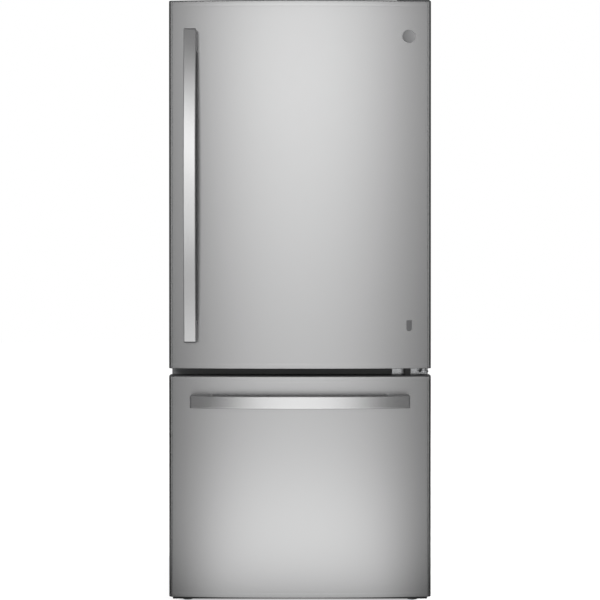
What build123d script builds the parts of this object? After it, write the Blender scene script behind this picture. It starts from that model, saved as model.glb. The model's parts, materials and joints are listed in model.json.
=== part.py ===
"""Bottom freezer refrigerator, built as it comes apart on a bench.

Frame: X to the viewer's right, Y to the back, Z up, millimetres.
The origin is on the floor, under the middle of the whole object's box.
At rest the door and the freezer drawer are shut.
"""
from build123d import *
from math import cos, pi, radians, sin
import os

# ---------------------------------------------------------------- overall sizes
door_width = 754.0          # stainless skin of the door and of the drawer front
cap_flare = 1.0             # end caps stand this far past the skin at the sides
case_inset = 2.0            # the case is narrower than the door at each side
case_depth = 737.0          # painted case, front frame to back panel
drawer_bottom = 33.0        # lower edge of the drawer front above the floor
drawer_height = 639.0
front_gap = 21.0            # between drawer front and door
door_height = 1060.0
top_clearance = 3.0         # door top to the top hinge plate
door_gap = 12.0             # door back to front frame, filled by the gasket
door_depth = 62.0           # door thickness at its side edges
door_bow = 17.0             # extra thickness at the middle of the bowed front
handle_reach = 66.0         # handle face in front of the skin, at mid handle

# ---------------------------------------------------------------- door panels
corner_radius = 9.0         # vertical front corners of skin and caps
skin_wall = 1.0
door_cap_height = 10.0      # plastic cap that closes each end of a panel
inner_panel_wall = 2.0
gasket_width = 13.0
gasket_outset = 4.0         # gasket's inner edge outside the cabinet opening
fit_gap = 0.3               # seated pieces of different bodies
running_gap = 0.4           # sliding pieces
bore_gap = 0.08             # radial clearance of pins and shafts

# ---------------------------------------------------------------- handles
handle_width = 35.0
handle_thickness = 17.0
handle_bow = 25.0           # mid handle in front of the handle's ends
handle_leg = 62.0           # length of a foot along the handle
handle_leg_radius = 12.0    # inner corner between foot and grip
handle_edge_radius = 2.5
door_handle_inset = 62.5    # grip's middle inside the door's side edge
door_handle_rise = 76.0     # lower end above the door's lower edge
door_handle_drop = 86.0     # upper end below the door's top edge
drawer_handle_inset = 63.0  # ends inside the drawer's side edges
drawer_handle_drop = 71.0   # grip's middle below the drawer's top edge

# ---------------------------------------------------------------- blank badge and tag
badge_radius = 19.0
badge_thickness = 2.5
badge_inset = 63.5          # middle inside the door's side edge
badge_drop = 103.5          # badge centre below the door's top edge
tag_width = 16.5
tag_height = 32.0
tag_thickness = 1.5
tag_inset = 62.5
tag_rise = 123.5            # tag centre above the door's lower edge

# ---------------------------------------------------------------- case
sheet = 1.0                 # case, back panel and rails
case_bottom = 44.0          # lower edge of the case above the floor
pan_thickness = 2.0         # base pan under the insulation
liner_wall = 2.0
food_side_foam = 44.0       # insulation beside the fresh food compartment
freezer_side_foam = 54.0
top_foam = 50.0
food_back_foam = 55.0
freezer_back_foam = 60.0
freezer_floor_foam = 55.0
divider_foam = 62.0         # insulation between the two compartments
machine_depth = 225.0       # machine compartment, from the back
machine_height = 234.0
machine_slope = 70.0        # its sloped front upper corner
machine_foam = 50.0         # insulation over the machine compartment

# ---------------------------------------------------------------- base
rail_inset_x = 27.0         # channel inside the case's side
rail_width = 30.0
rail_sheet = 3.0
rail_bottom = 12.0
rail_inset = 30.0           # rail ends inside the case's front and back
roller_radius = 20.0
roller_width = 20.0
roller_axle_radius = 4.0
roller_inset = 80.0         # roller axle in front of the case's back
leg_inset = 50.0            # levelling leg behind the front frame
leg_stem_radius = 5.0
leg_foot_radius = 16.0
leg_foot_height = 8.0
leg_nut_side = 22.0
leg_nut_height = 14.0
grille_thickness = 9.0
grille_bottom = 10.0
grille_setback = 2.0
grille_slots = 14
grille_slot_height = 12.0

# ---------------------------------------------------------------- hinges
hinge_side = 18.0           # pin axis inside the door's side edge
hinge_front = 30.0          # pin axis in front of the door's back
hinge_pin_radius = 5.0
hinge_pin_reach = 9.0       # pin inside the door's cap
hinge_plate = 4.0
hinge_arm_width = 28.0
hinge_collar_radius = 8.0   # carries the door on the middle hinge
hinge_base_width = 84.0     # top hinge plate across the case
hinge_base_start = 30.0     # and its run behind the front frame
hinge_base_end = 110.0
hinge_screw_inset = 14.0
hinge_cover_wall = 2.0
hinge_cover_height = 22.0
hinge_cover_margin = 0.4
hinge_cover_radius = 5.0
mid_plate_width = 102.0
mid_plate_inset = 3.0       # plate's end inside the case's side
mid_plate_height = 24.0
mid_plate_thickness = 3.0
screw_radius = 3.0
screw_head_radius = 5.5
screw_head_height = 3.0
screw_length = 14.0
screw_clearance = 0.1

# ---------------------------------------------------------------- fresh food inside
dike_inset = 16.0           # door liner's side ribs inside the cabinet opening
dike_width = 22.0
dike_depth = 75.0
dike_end = 32.0             # ribs end this far inside the opening's top and floor
bin_depth = 113.0
bin_wall = 2.5
bin_floor = 3.0
bin_ledge = 6.0
bin_ledge_length = 50.0
bin_heights = (125.0, 85.0, 85.0, 60.0)     # front walls, lowest bin first
bin_rise = 76.0             # lowest bin above the compartment's floor
dairy_drop = 225.0          # dairy bin's floor under the compartment's roof
lid_wall = 2.5
lid_drop = 70.0
lid_pin_radius = 3.0
lid_rise = 26.0             # lid pin above the dairy bin's front wall
lid_pin_reach = 7.0
shelf_front_gap = 30.0      # shelves and crispers behind the door bins
shelf_back_gap = 34.0       # shelves in front of the back wall
shelf_count = 3
shelf_thickness = 14.0
shelf_rim = 18.0
shelf_gap = 1.0
glass_thickness = 4.0
glass_seat = 6.0
ledge_width = 10.0
ledge_height = 6.0
cover_rise = 224.5          # crisper cover above the compartment's floor
cover_thickness = 18.0
divider_wall = 8.0          # upright panel between the crispers
runner_width = 8.0
runner_height = 5.0
runner_drop = 34.0          # runner top under the crisper cover
crisper_floor_gap = 6.0
crisper_side_gap = 3.0
crisper_wall = 2.5
crisper_floor = 3.0
crisper_rim = 3.0
crisper_front = 5.0
crisper_back_gap = 44.0     # crispers end this far before the shelves
crisper_corner = 8.0
crisper_rim_start = 90.0    # rims begin behind the front, clear of the open door
crisper_grip_width = 150.0
crisper_grip_depth = 14.0
crisper_grip_height = 22.0
slider_width = 18.0
slider_height = 5.0
slider_depth = 8.0
slider_travel = 40.0
tower_width = 170.0
tower_depth = 26.0
tower_bottom_gap = 12.0
tower_slots = 9
tower_slot_width = 60.0
tower_slot_height = 8.0
tower_wall = 2.5
control_width = 320.0
control_depth = 150.0
control_height = 46.0
control_setback = 8.0       # behind the shelf fronts
control_wall = 2.5
dial_radius = 19.0
dial_depth = 15.0
dial_bar = 8.0
dial_shaft_radius = 3.5
dial_shaft_length = 20.0
dial_x = 90.0
lens_width = 150.0
lens_depth = 80.0
lens_height = 8.0
switch_radius = 4.0
switch_length = 40.0
switch_x = 200.0
switch_gap = 5.0            # switch edge above the gasket

# ---------------------------------------------------------------- freezer inside
slide_height = 44.0
slide_drop = 44.0           # slides' middle under the upper basket's ribs
slide_sheet = 2.0
slide_depth = 17.0          # outer member, from the liner wall inwards
slide_back_gap = 14.0       # slides end before the freezer's step
slide_setback = 14.0        # outer member behind the front frame
slide_foot_width = 38.0
slide_foot_height = 56.0
slide_ledge = 10.0
slide_groove_wall = 6.0
drawer_field = 8.0          # raised field of the drawer's inner panel
drawer_field_inset = 10.0
basket_wall = 2.5
basket_floor_gap = 22.0
basket_top_gap = 30.0       # basket wall above the slide's middle
basket_back_gap = 21.0
basket_front_gap = 12.0
basket_slots = 11
basket_slot_width = 10.0
basket_slot_height = 90.0
tray_drop = 199.5           # ribs that carry the upper basket, under the roof
tray_ledge_width = 12.0
tray_height = 105.0
tray_back_gap = 59.0
tray_rim = 3.0
tray_floor_drop = 4.0
tray_slot_height = 50.0

# ---------------------------------------------------------------- cooling system
evaporator_side_gap = 68.0
evaporator_depth = 56.0
evaporator_fan_gap = 8.0    # top of the coil under the fan
evaporator_fins = 15
evaporator_rows = 6
evaporator_tube = 4.0
evaporator_rise = 16.0
evaporator_plate = 3.0
cover_gap = 14.0            # freezer back cover in front of the evaporator
cover_wall = 3.0
cover_vents = 8
fan_opening_radius = 58.0
fan_rise = 92.0             # fan axis below the freezer's ceiling
fan_radius = 52.0
fan_hub_radius = 14.0
fan_hub_length = 14.0
fan_blade_thickness = 2.0
fan_blade_pitch = 32.0
fan_blades = 5
motor_radius = 24.0
motor_length = 34.0
motor_shaft_radius = 3.0
motor_arm = 8.0
motor_arm_reach = 70.0
compressor_radius = 72.0
compressor_height = 120.0
compressor_inset = 139.0    # its middle inside the case's side wall
compressor_foot = 12.0
compressor_foot_radius = 11.0
compressor_plate = 4.0
condenser_inset = 44.0
condenser_span = 290.0
condenser_runs = 7
condenser_pitch = 22.0
condenser_bend = 10.0
condenser_tube = 3.0
condenser_wire = 1.0
condenser_wires = 12
condenser_rise = 80.0       # coil above the base pan
drain_height = 34.0
drain_wall = 2.0
drain_margin = 16.0
condenser_fan_x = -70.0
condenser_fan_rise = 82.0
cover_recess = 12.0         # machine cover inside the case's back edge
cover_slots = 12
cover_slot_width = 60.0
cover_slot_height = 5.0
gland_inset = 65.0
gland_rise = 70.0
gland_flange_radius = 13.0
gland_neck_radius = 9.0
gland_bore_radius = 4.5
gland_length = 16.0
gland_flange = 4.0

# ---------------------------------------------------------------- places worked out
overall_depth = case_depth + door_gap + door_depth + door_bow + handle_reach
y_back = overall_depth / 2
y_case = y_back - case_depth
y_door_back = y_case - door_gap
y_door_edge = y_door_back - door_depth
z_drawer_top = drawer_bottom + drawer_height
z_door = z_drawer_top + front_gap
z_door_top = z_door + door_height
z_case_top = z_door_top + top_clearance
z_gap = z_drawer_top + front_gap / 2
case_half = door_width / 2 - case_inset

z_base = case_bottom + pan_thickness
y_foam_front = y_case + sheet
y_foam_back = y_back - sheet
food_half = case_half - sheet - food_side_foam
food_floor = z_gap + divider_foam / 2
food_top = z_case_top - sheet - top_foam
food_back = y_foam_back - food_back_foam
freezer_half = case_half - sheet - freezer_side_foam
freezer_floor = z_base + freezer_floor_foam
freezer_top = z_gap - divider_foam / 2
freezer_back = y_foam_back - freezer_back_foam
y_machine = y_foam_back - machine_depth
z_machine = z_base + machine_height
y_step = y_machine - machine_foam
z_step = z_machine + machine_foam

x_pin = door_width / 2 - hinge_side
y_pin = y_door_back - hinge_front
y_inside = y_door_back + bin_depth + shelf_front_gap
rail_inner_x = case_half - rail_inset_x - rail_width
x_roller = rail_inner_x + rail_width / 2
door_handle_x = door_handle_inset - door_width / 2
badge_x = door_width / 2 - badge_inset
tag_x = door_width / 2 - tag_inset
mid_plate_right = case_half - mid_plate_inset
mid_plate_left = mid_plate_right - mid_plate_width
y_roller = y_back - roller_inset
y_leg = y_case + leg_inset

shelf_length = food_back - liner_wall - shelf_back_gap - y_inside
crisper_length = shelf_length - crisper_back_gap
cover_height = food_floor + cover_rise
control_bottom = food_top - liner_wall - control_height
dairy_base = food_top - dairy_drop
tray_ledge_height = freezer_top - tray_drop
slide_z = tray_ledge_height - slide_drop
y_slide = y_case + slide_setback
slide_length = y_step - liner_wall - slide_back_gap - y_slide
tray_length = y_step - liner_wall - tray_back_gap - y_slide
y_basket = y_door_back + drawer_field + basket_front_gap
basket_length = y_step - liner_wall - basket_back_gap - y_basket
y_machine_middle = (y_machine + y_back) / 2
compressor_x = compressor_inset - case_half + sheet
condenser_right = case_half - sheet - condenser_inset
condenser_left = condenser_right - condenser_span
gland_x = gland_inset - case_half


# ---------------------------------------------------------------- plain shapes
def block(x0, x1, y0, y1, z0, z1):
    """A box between two corners."""
    middle = Pos((x0 + x1) / 2, (y0 + y1) / 2, (z0 + z1) / 2)
    return middle * Box(x1 - x0, y1 - y0, z1 - z0)


def wide(half, y0, y1, z0, z1):
    """A box that is centred across the object."""
    return block(-half, half, y0, y1, z0, z1)


def rod_x(y, z, radius, x0, x1):
    return Pos((x0 + x1) / 2, y, z) * Rot(0, 90, 0) * Cylinder(radius, x1 - x0)


def rod_y(x, z, radius, y0, y1):
    return Pos(x, (y0 + y1) / 2, z) * Rot(90, 0, 0) * Cylinder(radius, y1 - y0)


def rod_z(x, y, radius, z0, z1):
    return Pos(x, y, (z0 + z1) / 2) * Cylinder(radius, z1 - z0)


def side_prism(points, half):
    """An outline of (y, z) points, pushed out to both sides of the middle."""
    outline = Polyline([(-half, y, z) for y, z in points], close=True)
    return extrude(make_face(outline), amount=2 * half, dir=(1, 0, 0))


def group(solids):
    """Separate solids that share one node."""
    return Compound(children=list(solids))


def both(make):
    """One solid for each side of the object, for -1 and +1."""
    return [make(side) for side in (-1, 1)]


def mirror_x(shape):
    return mirror(shape, about=Plane.YZ)


# ---------------------------------------------------------------- bowed panels
def bow_at(x, width=door_width):
    """How far the bowed front stands in front of the side edges at x."""
    radius = (width ** 2 / 4 + door_bow ** 2) / (2 * door_bow)
    return (radius ** 2 - x ** 2) ** 0.5 - (radius - door_bow)


def panel_solid(z0, z1, inset=0.0, rear=y_door_back):
    """The bowed panel's full section between two heights, drawn in by inset."""
    half = door_width / 2 - inset
    edge = y_door_edge + inset
    crown = edge - door_bow
    lines = [
        Line((-half, rear, z0), (-half, edge, z0)),
        ThreePointArc((-half, edge, z0), (0, crown, z0), (half, edge, z0)),
        Line((half, edge, z0), (half, rear, z0)),
        Line((half, rear, z0), (-half, rear, z0)),
    ]
    solid = extrude(make_face(lines), amount=z1 - z0, dir=(0, 0, 1))
    corners = solid.edges().filter_by(Axis.Z).sort_by(Axis.Y)[:2]
    return fillet(corners, corner_radius - inset)


def panel_skin(z0, z1):
    """Folded stainless sheet: bowed front, rounded corners and side returns."""
    outer = panel_solid(z0 + door_cap_height, z1 - door_cap_height)
    inner = panel_solid(z0, z1, skin_wall)
    return outer - inner


def panel_foam(z0, z1):
    """Insulation that fills the skin up to the inner panel."""
    return panel_solid(z0 + door_cap_height, z1 - door_cap_height, skin_wall,
                       y_door_back - inner_panel_wall)


def panel_cap(z0):
    """Plastic cap over one end of a panel, a little proud at the sides."""
    return panel_solid(z0, z0 + door_cap_height, -cap_flare)


def panel_back(z0, z1):
    """Flat plastic sheet that closes the panel's back, inside the skin."""
    half = door_width / 2 - skin_wall
    return wide(half, y_door_back - inner_panel_wall, y_door_back,
                z0 + door_cap_height, z1 - door_cap_height)


def gasket_ring(half, z0, z1):
    """Square ring seal round an opening, just clear of the front frame."""
    inner = half + gasket_outset
    outer = inner + gasket_width
    low = z0 - gasket_outset
    high = z1 + gasket_outset
    ring = wide(outer, y_door_back, y_case - fit_gap, low - gasket_width, high + gasket_width)
    return ring - wide(inner, y_door_back, y_case, low, high)


# ---------------------------------------------------------------- handles
def handle_bar(length, reach, foot):
    """A bowed bar with a foot at each end, lying along Z with its face to -Y.

    reach is how far mid handle stands out, foot how far each foot goes back.
    """
    half = length / 2
    end = reach - handle_bow
    grip = end - handle_thickness
    mid = reach - handle_thickness
    inside = half - handle_leg
    rise = (mid - grip) * (inside / half) ** 2
    outline = [
        Line((0, foot, -half), (0, -end, -half)),
        ThreePointArc((0, -end, -half), (0, -reach, 0), (0, -end, half)),
        Line((0, -end, half), (0, foot, half)),
        Line((0, foot, half), (0, foot, inside)),
        Line((0, foot, inside), (0, -mid + rise, inside)),
        ThreePointArc((0, -mid + rise, inside), (0, -mid, 0), (0, -mid + rise, -inside)),
        Line((0, -mid + rise, -inside), (0, foot, -inside)),
        Line((0, foot, -inside), (0, foot, -half)),
    ]
    bar = Pos(-handle_width / 2, 0, 0) * extrude(make_face(outline), amount=handle_width, dir=(1, 0, 0))
    inner = [e for e in bar.edges().filter_by(Axis.X)
             if abs(abs(e.center().Z) - inside) < fit_gap and e.center().Y < 0]
    bar = fillet(inner, handle_leg_radius)
    outer = [e for e in bar.edges().filter_by(Axis.X)
             if abs(abs(e.center().Z) - half) < fit_gap and e.center().Y < 0]
    bar = fillet(outer, handle_edge_radius)
    rim = [e for e in bar.edges() if abs(abs(e.center().X) - handle_width / 2) < fit_gap
           and e.bounding_box().max.Y < foot - fit_gap]
    front = [e for e in rim if e.center().Y < -end + handle_edge_radius + fit_gap
             or e.bounding_box().size.Z > length * 3 / 4]
    return fillet(front, handle_edge_radius)


def door_handle():
    skin_y = y_door_edge - bow_at(door_handle_x)
    low = z_door + door_handle_rise
    high = z_door_top - door_handle_drop
    bar = handle_bar(high - low, handle_reach, door_bow)
    return Pos(door_handle_x, skin_y, (low + high) / 2) * bar - panel_solid(z_door, z_door_top)


def drawer_handle():
    middle = z_drawer_top - drawer_handle_drop
    length = door_width - 2 * drawer_handle_inset
    bar = handle_bar(length, handle_reach, door_bow + handle_edge_radius)
    bar = Pos(0, y_door_edge - door_bow, middle) * Rot(0, 90, 0) * bar
    return bar - panel_solid(drawer_bottom, z_drawer_top)


def round_badge():
    skin_y = y_door_edge - bow_at(badge_x)
    turn = Rot(0, 0, (bow_at(badge_x - 1) - bow_at(badge_x + 1)) * 90 / pi)
    disc = Rot(90, 0, 0) * Cylinder(badge_radius, 2 * badge_thickness)
    disc = Pos(badge_x, skin_y, z_door_top - badge_drop) * turn * disc
    return disc - panel_solid(z_door, z_door_top)


def tag_plate():
    """Blank plaque with a rounded lower end."""
    skin_y = y_door_edge - bow_at(tag_x)
    turn = Rot(0, 0, (bow_at(tag_x - 1) - bow_at(tag_x + 1)) * 90 / pi)
    plate = Box(tag_width, 2 * tag_thickness, tag_height)
    low = plate.edges().filter_by(Axis.Y).sort_by(Axis.Z)[:2]
    plate = fillet(low, tag_width * 0.45)
    plate = Pos(tag_x, skin_y, z_door + tag_rise) * turn * plate
    return plate - panel_solid(z_door, z_door_top)


# ---------------------------------------------------------------- hinges
def top_screw_places():
    left = x_pin + hinge_arm_width / 2 - hinge_base_width + hinge_screw_inset
    near = y_case + hinge_base_start + hinge_screw_inset
    far = y_case + hinge_base_end - hinge_screw_inset
    return [(left, near), (left, far), (x_pin, far)]


def middle_screw_places():
    arm_left = x_pin - hinge_arm_width / 2
    return [mid_plate_left + hinge_screw_inset, arm_left - hinge_screw_inset]


def screw_shanks(radius):
    """Shanks of the hinge screws, or the holes for them."""
    down = [rod_z(x, y, radius, z_case_top - screw_length, z_case_top + hinge_plate)
            for x, y in top_screw_places()]
    back = [rod_y(x, z_gap, radius, y_case - mid_plate_thickness, y_case + screw_length)
            for x in middle_screw_places()]
    return down + back


def hinge_screws():
    heads = [rod_z(x, y, screw_head_radius, z_case_top + hinge_plate,
                   z_case_top + hinge_plate + screw_head_height) for x, y in top_screw_places()]
    front = y_case - mid_plate_thickness
    heads += [rod_y(x, z_gap, screw_head_radius, front - screw_head_height, front)
              for x in middle_screw_places()]
    return group(shank + head for shank, head in zip(screw_shanks(screw_radius), heads))


def drilled(shape):
    """Clearance holes for the hinge screws."""
    for hole in screw_shanks(screw_radius + screw_clearance):
        shape -= hole
    return shape


def top_hinge():
    """Plate on the case roof with the pin that hangs into the door's top cap."""
    half = hinge_arm_width / 2
    top = z_case_top + hinge_plate
    arm = block(x_pin - half, x_pin + half, y_pin, y_case + hinge_base_end, z_case_top, top)
    base = block(x_pin + half - hinge_base_width, x_pin + half,
                 y_case + hinge_base_start, y_case + hinge_base_end, z_case_top, top)
    nose = rod_z(x_pin, y_pin, half, z_case_top, top)
    pin = rod_z(x_pin, y_pin, hinge_pin_radius, z_door_top - hinge_pin_reach, top)
    return drilled(arm + base + nose + pin)


def top_hinge_cover():
    half = hinge_arm_width / 2
    out = hinge_cover_margin + hinge_cover_wall
    left = x_pin + half - hinge_base_width - out
    right = x_pin + half + out
    front = y_pin - half - out
    back = y_case + hinge_base_end + out
    top = z_case_top + hinge_cover_height
    cover = block(left, right, front, back, z_case_top, top)
    cover = fillet(cover.faces().sort_by(Axis.Z)[-1].edges(), hinge_cover_radius)
    wall = hinge_cover_wall
    return cover - block(left + wall, right - wall, front + wall, back - wall,
                         z_case_top - wall, top - wall)


def middle_hinge():
    """Angle plate in the gap; its pin carries the door on a collar."""
    half = hinge_arm_width / 2
    top = z_gap + hinge_plate / 2
    plate = block(mid_plate_left, mid_plate_right, y_case - mid_plate_thickness, y_case,
                  z_gap - mid_plate_height / 2, z_gap + mid_plate_height / 2)
    arm = block(x_pin - half, mid_plate_right, y_pin, y_case, z_gap - hinge_plate / 2, top)
    nose = rod_z(x_pin, y_pin, half, z_gap - hinge_plate / 2, top)
    collar = rod_z(x_pin, y_pin, hinge_collar_radius, top, z_door - fit_gap)
    pin = rod_z(x_pin, y_pin, hinge_pin_radius, top, z_door + hinge_pin_reach)
    return drilled(plate + arm + nose + collar + pin)


# ---------------------------------------------------------------- case
def machine_space(wall=0.0):
    """Outline of the machine compartment, or of the freezer step wall outside it."""
    front = y_machine - wall
    roof = z_machine + wall
    return [(front, z_base), (front, roof - machine_slope), (front + machine_slope, roof),
            (y_back, roof), (y_back, z_base)]


def freezer_space(wall=0.0):
    """Outline of the freezer cavity, drawn in by wall."""
    corner = wall * sin(pi / 8) / cos(pi / 8)
    return [(y_case - wall, freezer_floor + wall), (y_step - wall, freezer_floor + wall),
            (y_step - wall, z_step - machine_slope + corner),
            (y_step + machine_slope - corner, z_step + wall),
            (freezer_back - wall, z_step + wall), (freezer_back - wall, freezer_top - wall),
            (y_case - wall, freezer_top - wall)]


def switch_z():
    return food_top + gasket_outset + gasket_width + switch_gap + switch_radius


def cabinet_shell():
    """Painted sheet bent round the sides and roof, with flanges at the front."""
    shell = wide(case_half, y_case, y_foam_back, case_bottom, z_case_top)
    shell -= wide(case_half - sheet, y_foam_front, y_back, z_drop(), z_case_top - sheet)
    shell -= wide(food_half, y_case - sheet, y_foam_front + sheet, z_drop(), food_top)
    shell -= rod_y(switch_x, switch_z(), switch_radius + bore_gap, y_case - sheet, y_foam_front + sheet)
    return drilled(shell)


def z_drop():
    """A height just below the case, for cuts that leave its bottom open."""
    return case_bottom - sheet


def back_panel():
    return wide(case_half, y_foam_back, y_back, z_machine, z_case_top)


def cabinet_foam():
    """Insulation between case and liners, with the machine compartment cut out."""
    foam = wide(case_half - sheet, y_foam_front, y_foam_back, z_base, z_case_top - sheet)
    foam -= wide(food_half, y_case, food_back, food_floor, food_top)
    foam -= side_prism(freezer_space(), freezer_half)
    foam -= side_prism(machine_space(), case_half)
    foam -= rod_y(switch_x, switch_z(), switch_radius + 2 * running_gap, y_case,
                  y_case + switch_length)
    return drilled(foam)


def ledges(top, width, height, start, length, half):
    """A rib on each side wall that carries a shelf or a drawer's rim."""
    return both(lambda side: block(min(side * half, side * (half - width)),
                                   max(side * half, side * (half - width)),
                                   start, start + length, top - height, top))


def shelf_heights():
    """Shelves spread evenly between the crisper cover and the control housing."""
    low = cover_height + cover_thickness
    pitch = (control_bottom - low) / (shelf_count + 1)
    return [low + pitch * (i + 1) for i in range(shelf_count)]


def fresh_food_liner():
    """Moulded white box with ribs that carry the shelves and the crispers."""
    inner = food_half - liner_wall
    liner = wide(food_half, y_case, food_back, food_floor, food_top)
    liner -= wide(inner, y_case - liner_wall, food_back - liner_wall,
                  food_floor + liner_wall, food_top - liner_wall)
    for height in (*shelf_heights(), cover_height):
        for rib in ledges(height, ledge_width, ledge_height, y_inside, shelf_length, inner):
            liner += rib
    for rib in ledges(cover_height - runner_drop, runner_width, runner_height, y_inside,
                      crisper_length, inner):
        liner += rib
    return liner


def freezer_liner():
    """Moulded box stepped over the machine compartment, with ribs for the upper basket."""
    inner = freezer_half - liner_wall
    liner = side_prism(freezer_space(), freezer_half)
    liner += wide(food_half, y_case, y_foam_front, freezer_floor, freezer_top)
    liner -= side_prism(freezer_space(liner_wall), inner)
    for rib in ledges(tray_ledge_height, tray_ledge_width, ledge_height, y_slide, tray_length, inner):
        liner += rib
    return liner


def front_rails():
    """Painted strips between and below the two openings."""
    middle = wide(food_half, y_case, y_foam_front, freezer_top, food_floor)
    low = wide(food_half, y_case, y_foam_front, case_bottom, freezer_floor)
    return group([drilled(middle), low])


# ---------------------------------------------------------------- base
def rail(side):
    """Channel under one side, with the roller's axle and the leg's nut."""
    outer = rail_inner_x + rail_width
    start = y_case + rail_inset
    end = y_back - rail_inset
    channel = block(rail_inner_x, outer, start, end, rail_bottom, case_bottom)
    channel -= block(rail_inner_x + rail_sheet, outer - rail_sheet, start - sheet, end + sheet,
                     0, case_bottom - rail_sheet)
    channel += rod_x(y_roller, roller_radius, roller_axle_radius, rail_inner_x, outer)
    nut = leg_nut_side / 2
    top = case_bottom - rail_sheet
    channel += block(x_roller - nut, x_roller + nut, y_leg - nut, y_leg + nut,
                     top - leg_nut_height, top)
    channel -= rod_z(x_roller, y_leg, leg_stem_radius + bore_gap, 0, case_bottom)
    return channel if side > 0 else mirror_x(channel)


def base_frame():
    """Base pan with the two channels welded under it."""
    pan = wide(case_half - sheet, y_foam_front, y_foam_back, case_bottom, z_base)
    for channel in both(rail):
        pan += channel
    return pan


def base_grille():
    """Slotted strip that hangs under the pan's front edge."""
    front = y_case + grille_setback
    half = case_half - sheet
    grille = wide(half, front, front + grille_thickness, grille_bottom, case_bottom)
    pitch = 2 * half / grille_slots
    middle = (grille_bottom + case_bottom) / 2
    for i in range(grille_slots):
        left = -half + pitch * (i + 1 / 4)
        grille -= block(left, left + pitch / 2, front - sheet, front + grille_thickness + sheet,
                        middle - grille_slot_height / 2, middle + grille_slot_height / 2)
    return grille


def roller(side):
    wheel = rod_x(y_roller, roller_radius, roller_radius, x_roller - roller_width / 2,
                  x_roller + roller_width / 2)
    wheel -= rod_x(y_roller, roller_radius, roller_axle_radius + bore_gap, rail_inner_x,
                   rail_inner_x + rail_width)
    return wheel if side > 0 else mirror_x(wheel)


def levelling_leg(side):
    foot = rod_z(side * x_roller, y_leg, leg_foot_radius, 0, leg_foot_height)
    stem = rod_z(side * x_roller, y_leg, leg_stem_radius, 0, case_bottom - sheet)
    return foot + stem


# ---------------------------------------------------------------- door
def pin_bore(z0, z1):
    return rod_z(x_pin, y_pin, hinge_pin_radius + bore_gap, z0, z1)


def door_end_caps():
    low = panel_cap(z_door)
    high = panel_cap(z_door_top - door_cap_height)
    return group([low - pin_bore(z_door - 1, z_door + door_cap_height + 1),
                  high - pin_bore(z_door_top - door_cap_height - 1, z_door_top + 1)])


def dike_outer():
    return food_half - liner_wall - dike_inset


def bin_bases():
    """Floors of the bins: the dairy bin hangs from the top, the rest share the height."""
    low = food_floor + bin_rise
    count = len(bin_heights)
    return [low + (dairy_base - low) * i / (count - 1) for i in range(count)]


def lid_axis():
    """The dairy lid's pin, as its (y, z)."""
    return (y_door_back + 2 * (lid_pin_radius + lid_wall),
            dairy_base + bin_heights[-1] + lid_rise)


def door_liner():
    """Inner panel with the two ribs that hold the bins and the lid's pins."""
    outer = dike_outer()
    inner = outer - dike_width
    low = food_floor + dike_end
    high = food_top - dike_end
    liner = panel_back(z_door, z_door_top)
    y_lid, z_lid = lid_axis()
    for side in (-1, 1):
        x0, x1 = sorted((side * inner, side * outer))
        dike = block(x0, x1, y_door_back, y_door_back + dike_depth, low, high)
        crest = dike.faces().sort_by(Axis.Y)[-1]
        liner += fillet(crest.edges(), dike_width / 4)
        for base in bin_bases():
            x0, x1 = sorted((side * inner, side * (inner - bin_ledge)))
            liner += block(x0, x1, y_door_back, y_door_back + bin_ledge_length,
                           base - bin_ledge, base)
        reach = inner + lid_pin_reach + sheet
        liner -= rod_x(y_lid, z_lid, lid_pin_radius + bore_gap, *sorted((side * inner, side * reach)))
    return liner


def tub(x0, x1, y0, y1, z0, z1, wall, floor):
    """An open box with a wall all round."""
    return block(x0, x1, y0, y1, z0, z1) - block(x0 + wall, x1 - wall, y0 + wall, y1 - wall,
                                                 z0 + floor, z1 + floor)


def door_bins():
    half = dike_outer() - dike_width
    return group(tub(-half, half, y_door_back, y_door_back + bin_depth, base, base + height,
                     bin_wall, bin_floor)
                 for base, height in zip(bin_bases(), bin_heights))


def dairy_lid():
    """Clear cover that swings up about pins in the door's ribs."""
    y_lid, z_lid = lid_axis()
    half = dike_outer() - dike_width - 2 * running_gap
    front = y_door_back + bin_depth + 2 * running_gap
    roof = wide(half, y_lid - lid_pin_radius, front + lid_wall, z_lid - lid_wall / 2,
                z_lid + lid_wall / 2)
    face = wide(half, front, front + lid_wall, z_lid - lid_drop, z_lid + lid_wall / 2)
    lid = roof + face
    for side in (-1, 1):
        ends = sorted((side * (half - lid_pin_reach), side * (half + lid_pin_reach)))
        lid += rod_x(y_lid, z_lid, lid_pin_radius, *ends)
    return lid


# ---------------------------------------------------------------- freezer drawer
def drawer_inner_panel():
    """Inner panel with a shallow raised field that carries the slides."""
    panel = panel_back(drawer_bottom, z_drawer_top)
    half = freezer_half - liner_wall - drawer_field_inset
    field = wide(half, y_door_back, y_door_back + drawer_field, freezer_floor + drawer_field_inset,
                 freezer_top - drawer_field_inset)
    return panel + field


def slide_outer(side):
    wall = freezer_half - liner_wall
    start = y_slide
    half = slide_height / 2
    member = block(wall - slide_depth, wall, start, start + slide_length,
                   slide_z - half, slide_z + half)
    member -= block(wall - slide_depth - sheet, wall - slide_sheet, start - sheet,
                    start + slide_length + sheet, slide_z - half + slide_sheet,
                    slide_z + half - slide_sheet)
    return member if side > 0 else mirror_x(member)


def slide_middle(side):
    web = freezer_half - liner_wall - slide_sheet - running_gap
    left = freezer_half - liner_wall - slide_depth + slide_sheet
    start = y_slide
    half = slide_height / 2 - slide_sheet - running_gap
    groove = half - slide_groove_wall
    member = block(left, web, start, start + slide_length, slide_z - half, slide_z + half)
    member -= block(left - sheet, web - slide_groove_wall, start - sheet,
                    start + slide_length + sheet, slide_z - groove, slide_z + groove)
    return member if side > 0 else mirror_x(member)


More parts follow.
